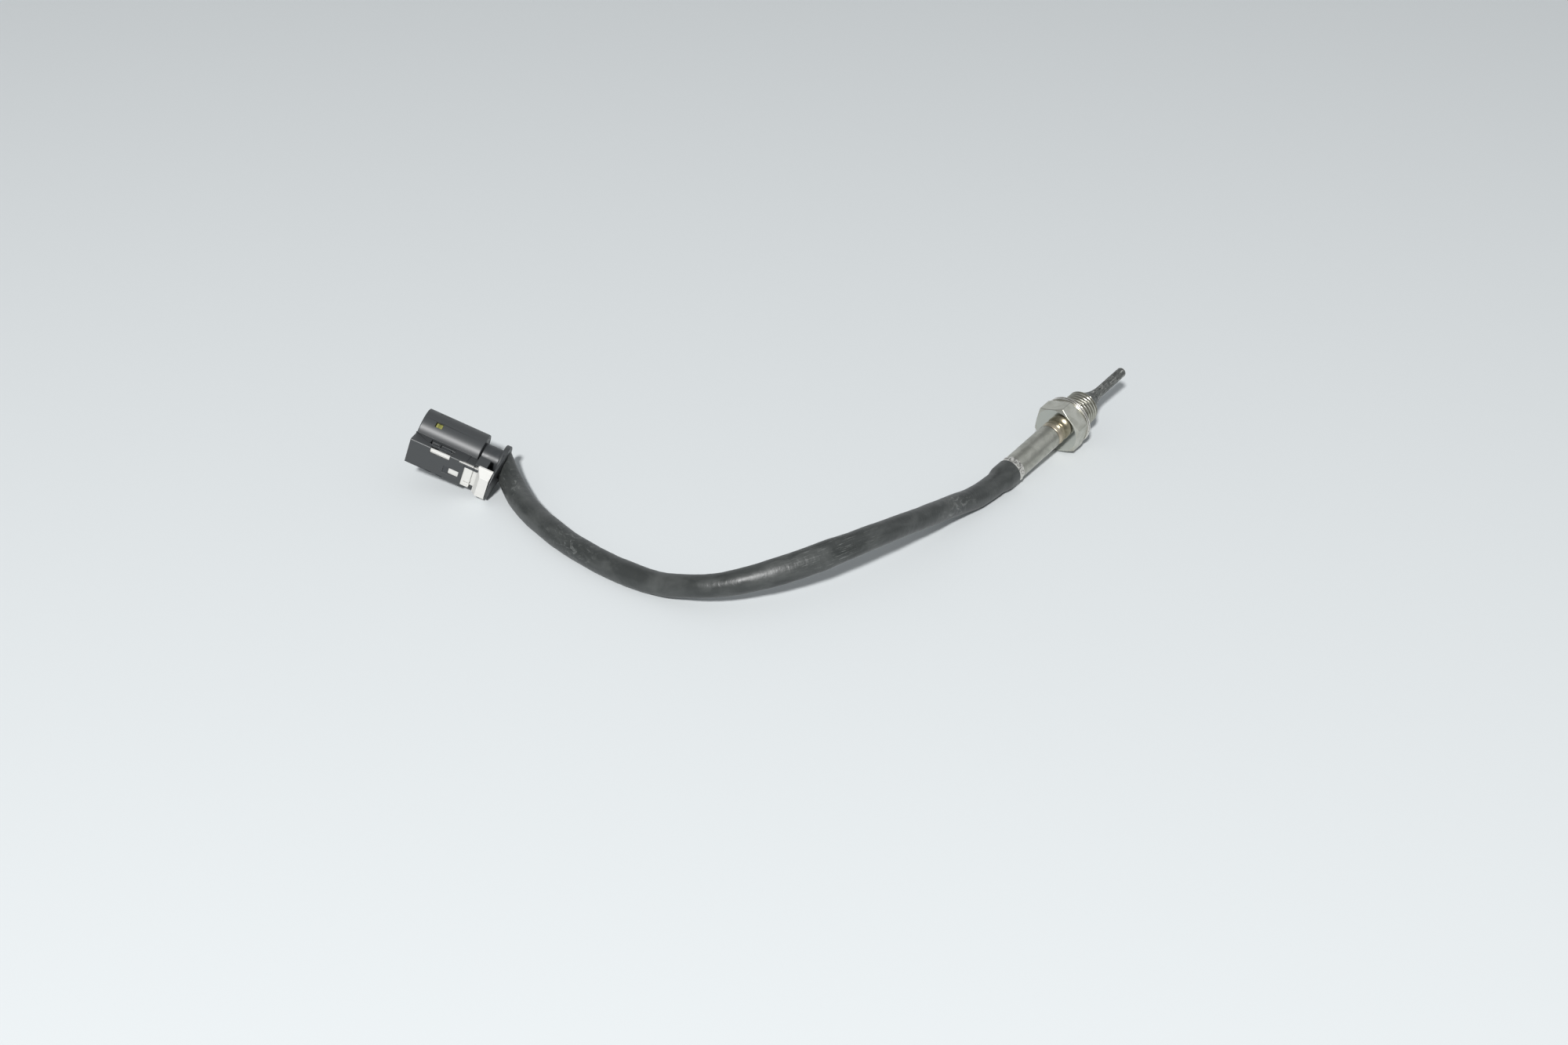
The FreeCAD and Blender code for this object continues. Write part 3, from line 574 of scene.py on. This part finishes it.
def crushWasher():
    rear = washer["rear"]
    front = rear + washer["thickness"]
    bore = washer["bore"]
    rim = washer["radius"]
    layer = (washer["thickness"] - washer["foldWidth"]) / 2
    fold = rim - washer["foldDepth"]
    soft = washer["rimRound"]
    inSoft = washer["foldRound"]
    outline = [
        (rear, bore, 0.1), (rear, rim, soft), (rear + layer, rim, soft), (rear + layer, fold, inSoft),
        (front - layer, fold, inSoft), (front - layer, rim, soft), (front, rim, soft), (front, bore, 0.1),
    ]
    dressed(spun("crushWasher", outline, washer, washerShape), "washer", "crush_washer")


# Probe sheath with its swaged shoulder
sheath = {
    "rear": -10.0, "radius": 2.05, "reach": 49.7, "shoulderRear": 20.3, "shoulderRadius": 5.8,
    "shoulderLand": 0.7, "shoulderFront": 33.5, "curveParts": 15,
    "tipLand": 0.15, "tipRadius": 0.35, "tipRound": 0.95,   # the tip's rounding is a share of the radius
    "rough": 0.045, "roughSize": 1.3, "roughSeed": 4.0, "smoothBelow": 0.2,
    "sides": 96, "step": 0.35,
}


def sheathShape(x, angle, radius):
    uneven = ripple(x, angle, np.maximum(radius, 1.0), sheath["roughSize"], sheath["roughSeed"])
    rough = (x > sheath["shoulderRear"]) & (radius > sheath["smoothBelow"])
    return np.where(rough, radius + uneven * sheath["rough"], radius)


def probeSheath():
    radius = sheath["radius"]
    reach = sheath["reach"]
    shoulder = sheath["shoulderRadius"]
    start = sheath["shoulderRear"] + sheath["shoulderLand"]
    length = sheath["shoulderFront"] - start
    rise = shoulder - radius
    curve = (length ** 2 + rise ** 2) / (2 * rise)
    outline = [
        (sheath["rear"], 0, 0), (sheath["rear"], radius, 0), (sheath["shoulderRear"], radius, 0),
        (sheath["shoulderRear"], shoulder, 0.2), (start, shoulder, 0.35),
    ]
    for part in range(1, sheath["curveParts"] + 1):
        left = length * (1 - part / sheath["curveParts"])
        height = radius + curve - math.sqrt(curve ** 2 - left ** 2)
        outline.append((sheath["shoulderFront"] - left, height, 0))
    outline += [
        (reach - sheath["tipLand"], radius, radius * sheath["tipRound"]), (reach, sheath["tipRadius"], 0.3),
        (reach, 0, 0),
    ]
    dressed(spun("probeSheath", outline, sheath, sheathShape), "probe", "probe_sheath")


# Braze ring behind the hexagon
braze = {
    "bore": 4.05, "rear": -4.2, "front": 0.03, "endRadius": 4.45, "middleRadius": 5.0,
    "crown": (0.72, 0.3), "crownRound": 0.8,   # the crown's two ends, as shares of the rear place
    "uneven": 0.07, "unevenSize": 2.6, "unevenSeed": 11.0, "unevenAbove": 4.25,
    "sides": 140, "step": 0.16,
}


def brazeShape(x, angle, radius):
    uneven = ripple(x, angle, radius, braze["unevenSize"], braze["unevenSeed"]) * braze["uneven"]
    return np.where(radius > braze["unevenAbove"], radius + uneven, radius)


def brazeCollar():
    rear = braze["rear"]
    end = braze["endRadius"]
    outline = [(rear, braze["bore"], 0), (rear, end, 0.3)]
    outline += [(rear * share, braze["middleRadius"], braze["crownRound"]) for share in braze["crown"]]
    outline += [(braze["front"], end, 0), (braze["front"], braze["bore"], 0)]
    dressed(spun("brazeCollar", outline, braze, brazeShape), "braze", "braze_collar")


# Ferrule with its rolled crimp
ferrule = {
    "rear": -37.8, "front": -4.8, "radius": 5.0, "wall": 0.5, "hole": 4.05, "lip": 0.6, "shoulderRound": 1.15,
    "crimpPlace": -31.1, "crimpReach": 1.5, "crimpDepth": 0.48, "crimpBumps": 11, "bumpTurn": 198.0,
    "bumpHeight": 0.90, "dents": 0.04, "dentSize": 4.0, "dentSeed": 23.0, "outerAbove": 4.8,
    "sides": 204, "step": 0.25,
}


def ferruleShape(x, angle, radius):
    near = eased(np.clip(1 - np.abs(x - ferrule["crimpPlace"]) / ferrule["crimpReach"], 0, 1))
    bumps = 0.5 + 0.5 * np.cos(ferrule["crimpBumps"] * angle - math.radians(ferrule["bumpTurn"]))
    pressed = near * (ferrule["crimpDepth"] - ferrule["bumpHeight"] * bumps)
    lumps = ripple(x, angle, radius, ferrule["dentSize"], ferrule["dentSeed"]) * ferrule["dents"]
    return np.where(radius > ferrule["outerAbove"], radius - pressed + lumps, radius)


def crimpFerrule():
    rear = ferrule["rear"]
    front = ferrule["front"]
    outer = ferrule["radius"]
    inner = outer - ferrule["wall"]
    lip = front - ferrule["lip"]
    outline = [
        (rear, inner, 0.1), (rear, outer, 0.2), (front, outer, ferrule["shoulderRound"]),
        (front, ferrule["hole"], 0.1), (lip, ferrule["hole"], 0), (lip, inner, 0.3),
    ]
    dressed(spun("crimpFerrule", outline, ferrule, ferruleShape), "ferrule", "crimp_ferrule")


hexBody()
crushWasher()
probeSheath()
brazeCollar()
crimpFerrule()
print("sensor head built")


# Lead sleeve: one smooth line led by the solids' route points, in metres
lead = {
    "diameter": 9.0, "wall": 0.28, "length": 0.2767, "exitShift": 0.4, "exitSlant": 52.0, "exitRun": 11.0,
    "headRun": -51.8, "mouthPlace": -33.2, "mouthRadius": 5.35, "mouthLand": 4.6, "mouthTaper": 5.2,
    "ringStep": 0.7, "around": 56,
    "blendRings": 7,       # rings to each side over which a change of size is spread
    "insideRings": 6,      # rings on the inner face of the mouth
    "plateRings": 30,      # rings that the rear plate may cut
    "floorGap": 0.02,      # mm
    "weld": 1e-8,          # m, points nearer than this are joined
    "wrinkleSize": 9.0, "wrinkleDepth": 0.20, "wrinkleSeed": 31.0,
    "fineSize": 3.2, "fineDepth": 0.06, "fineSeed": 7.0, "fineStretch": 1.5, "mouthCalm": 0.6,
}
leadMiddle = [
    (-0.173, 0.131, 0.0047), (-0.178, 0.115, 0.0045), (-0.182, 0.096, 0.0045), (-0.1835, 0.075, 0.0045),
    (-0.182, 0.055, 0.005), (-0.176, 0.0345, 0.0095), (-0.162, 0.0185, 0.0145), (-0.1435, 0.007, 0.0185),
    (-0.121, 0.001, 0.0185), (-0.096, -0.0005, 0.014), (-0.075, 0.001, 0.0083),
]
# How the sleeve swells and narrows: mm along it, width across the view and depth along it
sleeveSizes = [
    (0, 8.9, 8.7), (16, 9.6, 9.0), (30, 9.5, 9.0), (52, 9.1, 9.0), (95, 9.0, 9.0), (118, 8.4, 8.6),
    (136, 9.3, 8.4), (150, 10.0, 7.8), (166, 10.5, 7.2), (182, 9.2, 8.2), (198, 8.6, 8.6), (215, 8.3, 8.5),
    (232, 8.4, 8.5), (248, 8.8, 8.8), (290, 9.2, 9.2),
]


def leadLine():
    slant = math.radians(lead["exitSlant"])
    start = Vector((0, lead["exitShift"], 0))
    leave = Vector((-math.cos(slant), math.sin(slant), 0)) * lead["exitRun"]
    points = [plugPlace @ start, plugPlace @ (start + leave)]
    points += [Vector(point) for point in leadMiddle]
    points += [headPlace @ Vector((lead["headRun"], 0, 0)), headPlace @ Vector((lead["mouthPlace"], 0, 0))]
    data = bpy.data.curves.new("leadLine", "CURVE")
    data.dimensions = "3D"
    data.resolution_u = 24
    spline = data.splines.new("NURBS")
    spline.points.add(len(points) - 1)
    for place, point in zip(spline.points, points):
        place.co = (*point, 1.0)
    spline.order_u = 3
    spline.use_endpoint_u = True
    line = meshObject("leadLine", data)
    drawn = np.array([vertex.co[:] for vertex in finalMesh(line).vertices])
    bpy.data.objects.remove(line)
    return drawn


def evenly(line, step):
    runs = np.linalg.norm(np.diff(line, axis=0), axis=1)
    travelled = np.concatenate([[0], np.cumsum(runs)])
    count = int(round(travelled[-1] / step)) + 1
    wanted = np.linspace(0, travelled[-1], count)
    return np.stack([np.interp(wanted, travelled, line[:, axis]) for axis in range(3)], axis=1), wanted


def unit(values):
    return values / np.linalg.norm(values, axis=-1, keepdims=True)


def evenedOut(values):
    reach = lead["blendRings"]
    weights = np.hanning(2 * reach + 1)
    return np.convolve(np.pad(values, reach, mode="edge"), weights / weights.sum(), "valid")


def leadSleeve():
    line, travelled = evenly(leadLine(), lead["ringStep"] * mm)
    along = travelled / mm
    tangent = unit(np.gradient(line, axis=0))
    toCamera = unit(np.array(shot["place"]) - line)
    acrossView = unit(np.cross(toCamera, tangent))
    towards = unit(np.cross(tangent, acrossView))
    flare = np.clip(1 - (along[-1] - along - lead["mouthLand"]) / lead["mouthTaper"], 0, 1)
    flare = eased(flare)[:, None]
    sizes = np.array(sleeveSizes)
    halves = []
    for column in (1, 2):
        half = evenedOut(np.interp(along, sizes[:, 0], sizes[:, column]) / 2)[:, None]
        halves.append(half * (1 - flare) + lead["mouthRadius"] * flare)
    wide, deep = halves
    angle = np.linspace(0, 2 * np.pi, lead["around"], endpoint=False)[None, :]
    cosine = np.cos(angle)
    sine = np.sin(angle)
    spread = along[:, None] + 0 * angle
    turn = angle + 0 * spread
    size = wide * cosine ** 2 + deep * sine ** 2
    folds = ripple(spread, turn, size, lead["wrinkleSize"], lead["wrinkleSeed"]) * lead["wrinkleDepth"]
    fine = ripple(spread * lead["fineStretch"], turn, size, lead["fineSize"], lead["fineSeed"])
    folds = (folds + fine * lead["fineDepth"]) * (1 - lead["mouthCalm"] * flare)
    acrossSize = (wide + folds) * cosine
    towardsSize = (deep + folds) * sine
    places = line[:, None, :] + (acrossSize[..., None] * acrossView[:, None, :]
                                 + towardsSize[..., None] * towards[:, None, :]) * mm
    places[..., 2] = np.maximum(places[..., 2], lead["floorGap"] * mm)
    outer = flushWithPlate(places, tangent)
    drawn = np.stack([spread, acrossSize, towardsSize], axis=-1)
    count = lead["insideRings"]
    middle = line[-count:][::-1][:, None, :]
    shrink = 1 - lead["wall"] / lead["mouthRadius"]
    inside = middle + (outer[-count:][::-1] - middle) * shrink
    mesh = gridMesh("leadSleeve", np.concatenate([outer, inside]), False)
    keepPlaces(mesh, np.concatenate([drawn, drawn[-count:][::-1]]))
    closeUp(mesh, lead["weld"])
    smoothed(mesh, 50)
    piece = dressed(meshObject("leadSleeve", mesh), "sleeve", "lead_sleeve")
    return piece, line


def flushWithPlate(places, tangent):
    # The first ring lies on the rear plate, and no ring passes through it
    facing = np.array((plugPlace.to_3x3() @ Vector((1, 0, 0))).normalized())
    ahead = (places - np.array(plugPlace.translation)) @ facing
    slide = ahead / (tangent @ facing)[:, None]
    moved = np.where(ahead > 0, slide, 0)
    moved[0] = slide[0]
    moved[lead["plateRings"]:] = 0
    return places - moved[..., None] * tangent[:, None, :]


# Camera at the photograph's viewing angle
shot = {
    "place": (-0.66182, -0.38866, 0.43898), "turn": (58.0, 0.0, -51.2), "lens": 50.0, "sensor": 36.0,
    "clip": (0.01, 50),
}


def makeCamera():
    data = bpy.data.cameras.new("camera")
    data.lens = shot["lens"]
    data.sensor_width = shot["sensor"]
    data.clip_start, data.clip_end = shot["clip"]
    camera = meshObject("camera", data)
    camera.location = shot["place"]
    camera.rotation_euler = [math.radians(angle) for angle in shot["turn"]]
    bpy.context.scene.camera = camera
    bpy.context.view_layer.update()
    return camera


camera = makeCamera()
sleeve, sleeveLine = leadSleeve()
print("lead built")


# Plug helpers: solids in plug millimetres, joined and cut, then edges rounded
carving = {"sides": 128, "ringSides": 160, "bevelParts": 2, "bevelAbove": 32, "sharpAbove": 50}


def boxPart(xFrom, xTo, yFrom, yTo, zFrom, zTo):
    work = bmesh.new()
    bmesh.ops.create_cube(work, size=1.0)
    middle = Vector((xFrom + xTo, yFrom + yTo, zFrom + zTo)) / 2
    size = Vector((xTo - xFrom, yTo - yFrom, zTo - zFrom))
    place = Matrix.Translation(middle) @ Matrix.Diagonal((*size, 1))
    bmesh.ops.transform(work, matrix=place, verts=work.verts)
    return fromWork(work)


def fromWork(work):
    bmesh.ops.recalc_face_normals(work, faces=work.faces)
    mesh = bpy.data.meshes.new("part")
    work.to_mesh(mesh)
    work.free()
    return meshObject("part", mesh)


def rodPart(xFrom, xTo, diameter):
    work = bmesh.new()
    turn = Matrix.Rotation(math.radians(90), 4, "Y")
    place = Matrix.Translation(((xFrom + xTo) / 2, 0, 0)) @ turn
    bmesh.ops.create_cone(work, cap_ends=True, segments=carving["sides"], radius1=diameter / 2,
                          radius2=diameter / 2, depth=xTo - xFrom, matrix=place)
    return fromWork(work)


def ringsPart(low, high):
    # Two outlines of as many places, closed into a solid
    work = bmesh.new()
    low = [work.verts.new(place) for place in low]
    high = [work.verts.new(place) for place in high]
    work.faces.new(low)
    work.faces.new(high[::-1])
    for number in range(len(low)):
        after = (number + 1) % len(low)
        work.faces.new([low[number], low[after], high[after], high[number]])
    return fromWork(work)


def prismPart(points, normal, low, high):
    # Outline of two values each, pushed along normal, which is "x" (outline y, z) or "z" (outline x, y)
    if normal == "x":
        return ringsPart(*[[(level, a, b) for a, b in points] for level in (low, high)])
    return ringsPart(*[[(a, b, level) for a, b in points] for level in (low, high)])


def ringPart(xFrom, xTo, outer, inner, rounding):
    outline = [(xFrom, inner, 0.1), (xFrom, outer, rounding), (xTo, outer, rounding), (xTo, inner, 0.15)]
    points = outlinePoints(outline, xTo, arcSteps=3)
    return meshObject("part", turnedMesh("part", points, carving["ringSides"]))


def turnedPart(part, degrees):
    part.data.transform(Matrix.Rotation(math.radians(degrees), 4, "X"))
    return part


def carved(name, base, joins, cuts, place, edge):
    for operation, parts in (("UNION", joins), ("DIFFERENCE", cuts)):
        for part in parts:
            modifier = base.modifiers.new("cut", "BOOLEAN")
            modifier.operation = operation
            modifier.object = part
            modifier.solver = "EXACT"
    bevel = base.modifiers.new("edges", "BEVEL")
    bevel.width = edge
    bevel.segments = carving["bevelParts"]
    bevel.limit_method = "ANGLE"
    bevel.angle_limit = math.radians(carving["bevelAbove"])
    bevel.use_clamp_overlap = False
    mesh = finalMesh(base)
    for part in [base, *joins, *cuts]:
        bpy.data.objects.remove(part)
    mesh.name = name
    keepDrawn(mesh)
    mesh.transform(place)
    smoothed(mesh, carving["sharpAbove"])
    piece = meshObject(name, mesh)
    weighted = piece.modifiers.new("shading", "WEIGHTED_NORMAL")
    weighted.keep_sharp = True
    return piece


# Housing: round shroud, latch block with its windows, and the tray behind it
housing = {
    "shroudRear": 9.4, "mouth": 35.0, "shroudDiameter": 16.4, "shroudBore": 14.0, "mouthRound": 0.35,
    "blockRear": 12.0, "blockHalf": 6.2, "blockHeight": 15.0, "wall": 1.2, "floor": 8.6, "edgeRound": 0.7,
    "footHalf": 3.8, "footHeight": 7.25,   # where the slanted sides of the block meet the shroud
    "trayRear": 4.0, "trayEnd": 8.6, "traySide": (7.7, 13.1), "trayFloor": 1.0, "trayInset": 0.2,
    "longSideRear": 0.8, "webRun": (8.4, 12.2), "webFloorHalf": 3.8,   # the webs join the tray to the block
    "web": [(7.6, 3.6), (13.7, 5.9), (13.7, 5.5), (13.1, 5.3), (13.1, 4.8), (7.6, 2.6)],   # height and z
}
# Openings: boxes are x, height and z from and to, and outlines are height and z, or x and height
openings = {
    "beyond": 36, "above": 16,             # mm, clear of the mouth and of the block's top
    "seatDepth": 2.0, "seatDiameter": 15.1, "rearLow": -16.4, "rearTop": 7.6,
    "armRoomTop": 13.8, "armRoomHalf": (3.1, 4.9),
    "lockRoom": [(13.2, -5.35), (13.2, 5.35), (14.5, 5.8), (14.5, -5.8)], "lockRoomFront": 33.5,
    "sealWindow": (28.2, 2.9, 2.2, 68.0),  # place, length, width and angle of a window in the shroud
    "slotWindow": (28.2, 3.6, 0.9, 113.0), "windowFrom": 6.0, "windowTo": 9.2,
    "side": (17.9, 28.1, 8.05, 12.0, 2.9),
    "wavy": [(18.5, 13.35), (19.6, 13.3), (21.0, 13.95), (22.8, 14.0), (24.2, 13.4), (26.6, 13.3)],
    "wavyDepth": 2.4,
    "wedge": [(11.0, 13.9), (12.4, 13.6), (13.6, 14.2), (14.7, 14.3)], "wedgeDepth": 1.0,
    "topNotch": (13.6, 19.9, -3.0, 0.3), "topNotchSink": 0.1,
    "cornerPlaces": (19.3, 23.9), "cornerLength": 2.6, "cornerDepth": 1.3, "cornerInset": (0.1, 0.6),
}
# Ledges, latch arm, the pad and bump in the side window, and thin ribs beside the openings
trim = {
    "ledge": (6, 33), "ledgeTop": 12.3, "ledgeHeight": 0.7, "ledgeWidth": 0.8, "ledgeSink": 0.2,
    "inside": [   # arm, its tooth, pad, post and bump
        (11, 31.5, 10.0, 11.4, -2.6, 2.6), (29.5, 31.5, 8.1, 11.4, -2.6, 2.6),
        (19.7, 23.4, 9.1, 11.2, 2.6, 3.7), (24.1, 24.7, 8.7, 12.3, 2.6, 4.0),
        (20.3, 21.1, 9.8, 10.6, 3.6, 4.0),
    ],
    "sideRib": (18.1, 27.9, 12.3, 12.6), "sideRibInset": (1.1, 0.45),
    "topRibs": [   # heights are from the block's top
        (18.3, 26.8, -0.1, 0.14, 3.6, 3.85), (17.7, 19.8, -0.48, -0.15, -3.0, 0.3),
        (13.6, 17.8, -0.48, -0.1, -2.9, -2.6), (6.4, 12.6, -0.48, 0, 4.2, 5.15),
    ],
}


def blockPart():
    half = housing["blockHalf"]
    top = housing["blockHeight"]
    soft = housing["edgeRound"]
    foot = housing["footHalf"]
    outline = [(0, -foot), (housing["footHeight"], -foot)]
    for side, start in ((-1, 180), (1, 90)):
        for number in range(5):
            angle = math.radians(start - number * 22.5)
            height = top - soft + soft * math.sin(angle)
            outline.append((height, side * (half - soft) + soft * math.cos(angle)))
    outline += [(housing["footHeight"], foot), (0, foot)]
    return prismPart(outline, "x", housing["blockRear"], housing["mouth"])


def radialWindow(window, mirrored):
    place, length, width, angle = window
    cutter = boxPart(place - length / 2, place + length / 2, openings["windowFrom"], openings["windowTo"],
                     -width / 2, width / 2)
    return turnedPart(cutter, -angle if mirrored else angle)


def cutFromAbove(outline, zFrom, zTo):
    # The outline is the opening's lower edge, seen from the side
    above = openings["above"]
    closed = [(outline[0][0], above), *outline, (outline[-1][0], above)]
    return prismPart(closed, "z", zFrom, zTo)


def housingCuts():
    half = housing["blockHalf"]
    top = housing["blockHeight"]
    rear = housing["blockRear"]
    floor = housing["floor"]
    inner = half - housing["wall"]
    outside = half + 1
    above = openings["above"]
    beyond = openings["beyond"]
    armTop = openings["armRoomTop"]
    armLow, armHigh = openings["armRoomHalf"]
    armRoom = [(floor, -armLow), (floor, armLow), (armTop, armHigh), (armTop, -armHigh)]
    cuts = [
        rodPart(0, beyond, housing["shroudBore"]),
        rodPart(0, openings["seatDepth"], openings["seatDiameter"]),
        boxPart(-1, housing["shroudRear"], openings["rearLow"], openings["rearTop"], -inner, inner),
        prismPart(armRoom, "x", rear - 1, beyond),
        prismPart(openings["lockRoom"], "x", rear - 1, openings["lockRoomFront"]),
    ]
    for mirrored in (False, True):
        cuts.append(radialWindow(openings["sealWindow"], mirrored))
        cuts.append(radialWindow(openings["slotWindow"], mirrored))
    cuts.append(boxPart(*openings["side"], outside))
    cuts.append(cutFromAbove(openings["wavy"], half - openings["wavyDepth"], outside))
    cuts.append(cutFromAbove(openings["wedge"], half - openings["wedgeDepth"], outside))
    xFrom, xTo, zFrom, zTo = openings["topNotch"]
    cuts.append(boxPart(xFrom, xTo, top - housing["wall"] - openings["topNotchSink"], above, zFrom, zTo))
    near, far = openings["cornerInset"]
    for place in openings["cornerPlaces"]:
        cuts.append(boxPart(place, place + openings["cornerLength"], top - openings["cornerDepth"], above,
                            -half + near, -half + far))
    return cuts


def housingJoins():
    half = housing["blockHalf"]
    inner = half - housing["wall"]
    rear = housing["trayRear"]
    end = housing["trayEnd"]
    heights = housing["traySide"]
    floor = housing["floor"]
    under = floor - housing["trayFloor"]
    wide = half - housing["trayInset"]
    narrow = housing["webFloorHalf"]
    web = housing["web"]
    return [
        boxPart(rear, end, *heights, inner, half),
        boxPart(housing["longSideRear"], end, *heights, -half, -inner),
        prismPart(web, "x", *housing["webRun"]),
        prismPart([(y, -z) for y, z in web], "x", *housing["webRun"]),
        boxPart(rear, end, under, floor, -wide, wide),
        boxPart(*housing["webRun"], under, floor, -narrow, narrow),
    ]


def housingTrim():
    half = housing["blockHalf"]
    inner = half - housing["wall"]
    top = housing["blockHeight"]
    ledgeTop = trim["ledgeTop"]
    boxes = []
    for side in (1, -1):
        edges = sorted((side * (inner + trim["ledgeSink"]), side * (inner - trim["ledgeWidth"])))
        boxes.append((*trim["ledge"], ledgeTop - trim["ledgeHeight"], ledgeTop, *edges))
    boxes += trim["inside"]
    boxes.append((*trim["sideRib"], *[half - inset for inset in trim["sideRibInset"]]))
    boxes += [(rear, front, top + low, top + high, *z) for rear, front, low, high, *z in trim["topRibs"]]
    return [boxPart(*box) for box in boxes]


def plugHousing():
    base = ringPart(housing["shroudRear"], housing["mouth"], housing["shroudDiameter"] / 2,
                    housing["shroudBore"] / 2, housing["mouthRound"])
    solid = carved("housingShell", base, [blockPart(), *housingJoins()], [], Matrix.Identity(4), edge=0.0)
    solid.modifiers.clear()
    opened = carved("plugHousing", solid, [], housingCuts(), plugPlace, edge=0.14)
    dressed(opened, "plastic", "plug_housing")
    first, *others = housingTrim()
    inner = carved("latchAndLedges", first, others, [], plugPlace, edge=0.08)
    dressed(inner, "carrier", "plug_housing")
    return [opened, inner]


# Rear plate, with the long hole for the wires
plate = {
    "thickness": 2.0, "wing": 0.8, "radius": 7.5, "half": 7.0, "reach": 17.8, "corner": 3.0,
    "low": -1.3, "high": 1.7, "holeHalf": 3.3, "edge": 0.3,
}


def rearPlate():
    half = plate["half"]
    reach = plate["reach"]
    corner = plate["corner"]
    outline = [(0, -half), (0, half), (reach - corner, half), (reach, half - corner), (reach, corner - half),
               (reach - corner, -half)]
    wing = prismPart(outline, "x", 0, plate["wing"])
    hole = boxPart(-1, 3, plate["low"], plate["high"], -plate["holeHalf"], plate["holeHalf"])
    disc = rodPart(0, plate["thickness"], 2 * plate["radius"])
    piece = carved("rearPlate", disc, [wing], [hole], plugPlace, edge=plate["edge"])
    return dressed(piece, "plastic", "rear_plate")


# White lock with its faceted thumb pad
lock = {
    "rear": 0.9, "padLength": 5.9, "padLow": 13.4, "padStep": 0.9, "padTop": 17.7, "padHalf": 6.8,
    "crownInset": 2.0, "rearInset": 0.12, "crownHalf": 4.9,
    "plateLow": 12.6, "plateTop": 13.5, "plateHalf": 4.7, "front": 27.0,
    "groove": (8.4, 11.0, -3.75, -3.25),   # x and z, from and to
    "railRear": 8.6, "railHeights": (13.35, 14.45), "railHalves": (5.25, 5.65),
    "overlap": 0.1, "edge": 0.12,
}


def levelRing(rear, front, height, half):
    return [(rear, height, -half), (front, height, -half), (front, height, half), (rear, height, half)]


def plugLock():
    rear = lock["rear"]
    front = rear + lock["padLength"]
    low = lock["padLow"]
    half = lock["padHalf"]
    step = low + lock["padStep"]
    plateLow = lock["plateLow"]
    plateTop = lock["plateTop"]
    narrow = lock["plateHalf"]
    overlap = lock["overlap"]
    pad = ringsPart(levelRing(rear, front, step, half),
                    levelRing(rear + lock["rearInset"], front - lock["crownInset"], lock["padTop"],
                              lock["crownHalf"]))
    rim = boxPart(rear, front, low, step + 0.02, -half, half)
    stem = boxPart(rear, front, plateLow, low + overlap, -narrow, narrow)
    sheet = boxPart(rear, lock["front"], plateLow, plateTop, -narrow, narrow)
    xFrom, xTo, zFrom, zTo = lock["groove"]
    groove = boxPart(xFrom, xTo, plateLow - 1, plateTop + 1, zFrom, zTo)
    railLow, railTop = lock["railHeights"]
    railHalf, railWide = lock["railHalves"]
    edge = railTop - 0.01
    railOutline = [(railLow, -railHalf), (railLow, railHalf), (edge, railWide), (edge, -railWide)]
    rails = [boxPart(lock["railRear"], lock["front"], plateLow + overlap, railTop, -narrow, narrow),
             prismPart(railOutline, "x", lock["railRear"], lock["front"])]
    piece = carved("plugLock", sheet, [stem, rim, pad, *rails], [groove], plugPlace, edge=lock["edge"])
    return dressed(piece, "white", "plug_lock", body="lock")


plugPieces = plugHousing() + [rearPlate(), plugLock()]
print("plug built")


# Floor, backdrop colour and light
stage = {
    "floorSize": 8.0, "floor": tone(0.70, 0.728, 0.738), "floorRoughness": 0.60, "floorSpecular": 0.15,
    "air": tone(0.93, 0.965, 0.99), "airStrength": 0.33, "airInMetal": 0.30,
    "softBoxes": (((0.67, 0.68, 0.26), 0.45), ((0.60, -0.44, 0.66), 0.50)),   # direction and added strength
    "softBoxEdge": (0.78, 0.96),   # cosine of the angle from a box's middle, at its edge and where it is full
    "flashRise": 8.5, "flashTurn": -6.0, "flashAway": 3.0, "flashSize": 0.24, "flashPower": 102.0,
    "flashTarget": (-0.09, 0.07, 0),
}


def makeFloor():
    half = stage["floorSize"] / 2
    corners = [(-half, -half, 0), (half, -half, 0), (half, half, 0), (-half, half, 0)]
    mesh = bpy.data.meshes.new("floor")
    mesh.from_pydata(corners, [], [range(4)])
    floor = meshObject("floor", mesh)
    material, tree = newMaterial("paleTable", stage["floorRoughness"], specular=stage["floorSpecular"])
    tree.nodes["Principled BSDF"].inputs["Base Color"].default_value = stage["floor"]
    mesh.materials.append(material)


def areaLight(name, place, target, size, power):
    data = bpy.data.lights.new(name, "AREA")
    data.size = size
    data.energy = power
    light = meshObject(name, data)
    light.location = place
    light.rotation_euler = (target - place).to_track_quat("-Z", "Y").to_euler()


def makeLights():
    rise = math.radians(stage["flashRise"])
    side = math.radians(stage["flashTurn"])
    towards = camera.matrix_world.to_3x3() @ Vector((math.sin(side), math.sin(rise), math.cos(rise)))
    middle = Vector(stage["flashTarget"])
    areaLight("flash", middle + towards * stage["flashAway"], middle, stage["flashSize"], stage["flashPower"])
    world = bpy.data.worlds.new("air")
    world.use_nodes = True
    tree = world.node_tree
    sky = tree.nodes["Background"]
    sky.inputs["Color"].default_value = stage["air"]
    glossy = add(tree, "LightPath", {}).outputs["Is Glossy Ray"]
    shine = stage["airInMetal"]
    for direction, strength in stage["softBoxes"]:
        facing = add(tree, "VectorMath", {0: add(tree, "TexCoord", {}).outputs["Generated"],
                                          1: Vector(direction).normalized()}, operation="DOT_PRODUCT")
        box = ranged(tree, facing.outputs["Value"], *stage["softBoxEdge"], 0.0, strength)
        shine = reckoned(tree, "ADD", shine, box)
    put(tree, sky.inputs["Strength"], mixed(tree, glossy, stage["airStrength"], shine))
    bpy.context.scene.world = world


makeFloor()
makeLights()
bpy.context.scene.view_settings.view_transform = "Standard"
print("stage ready")
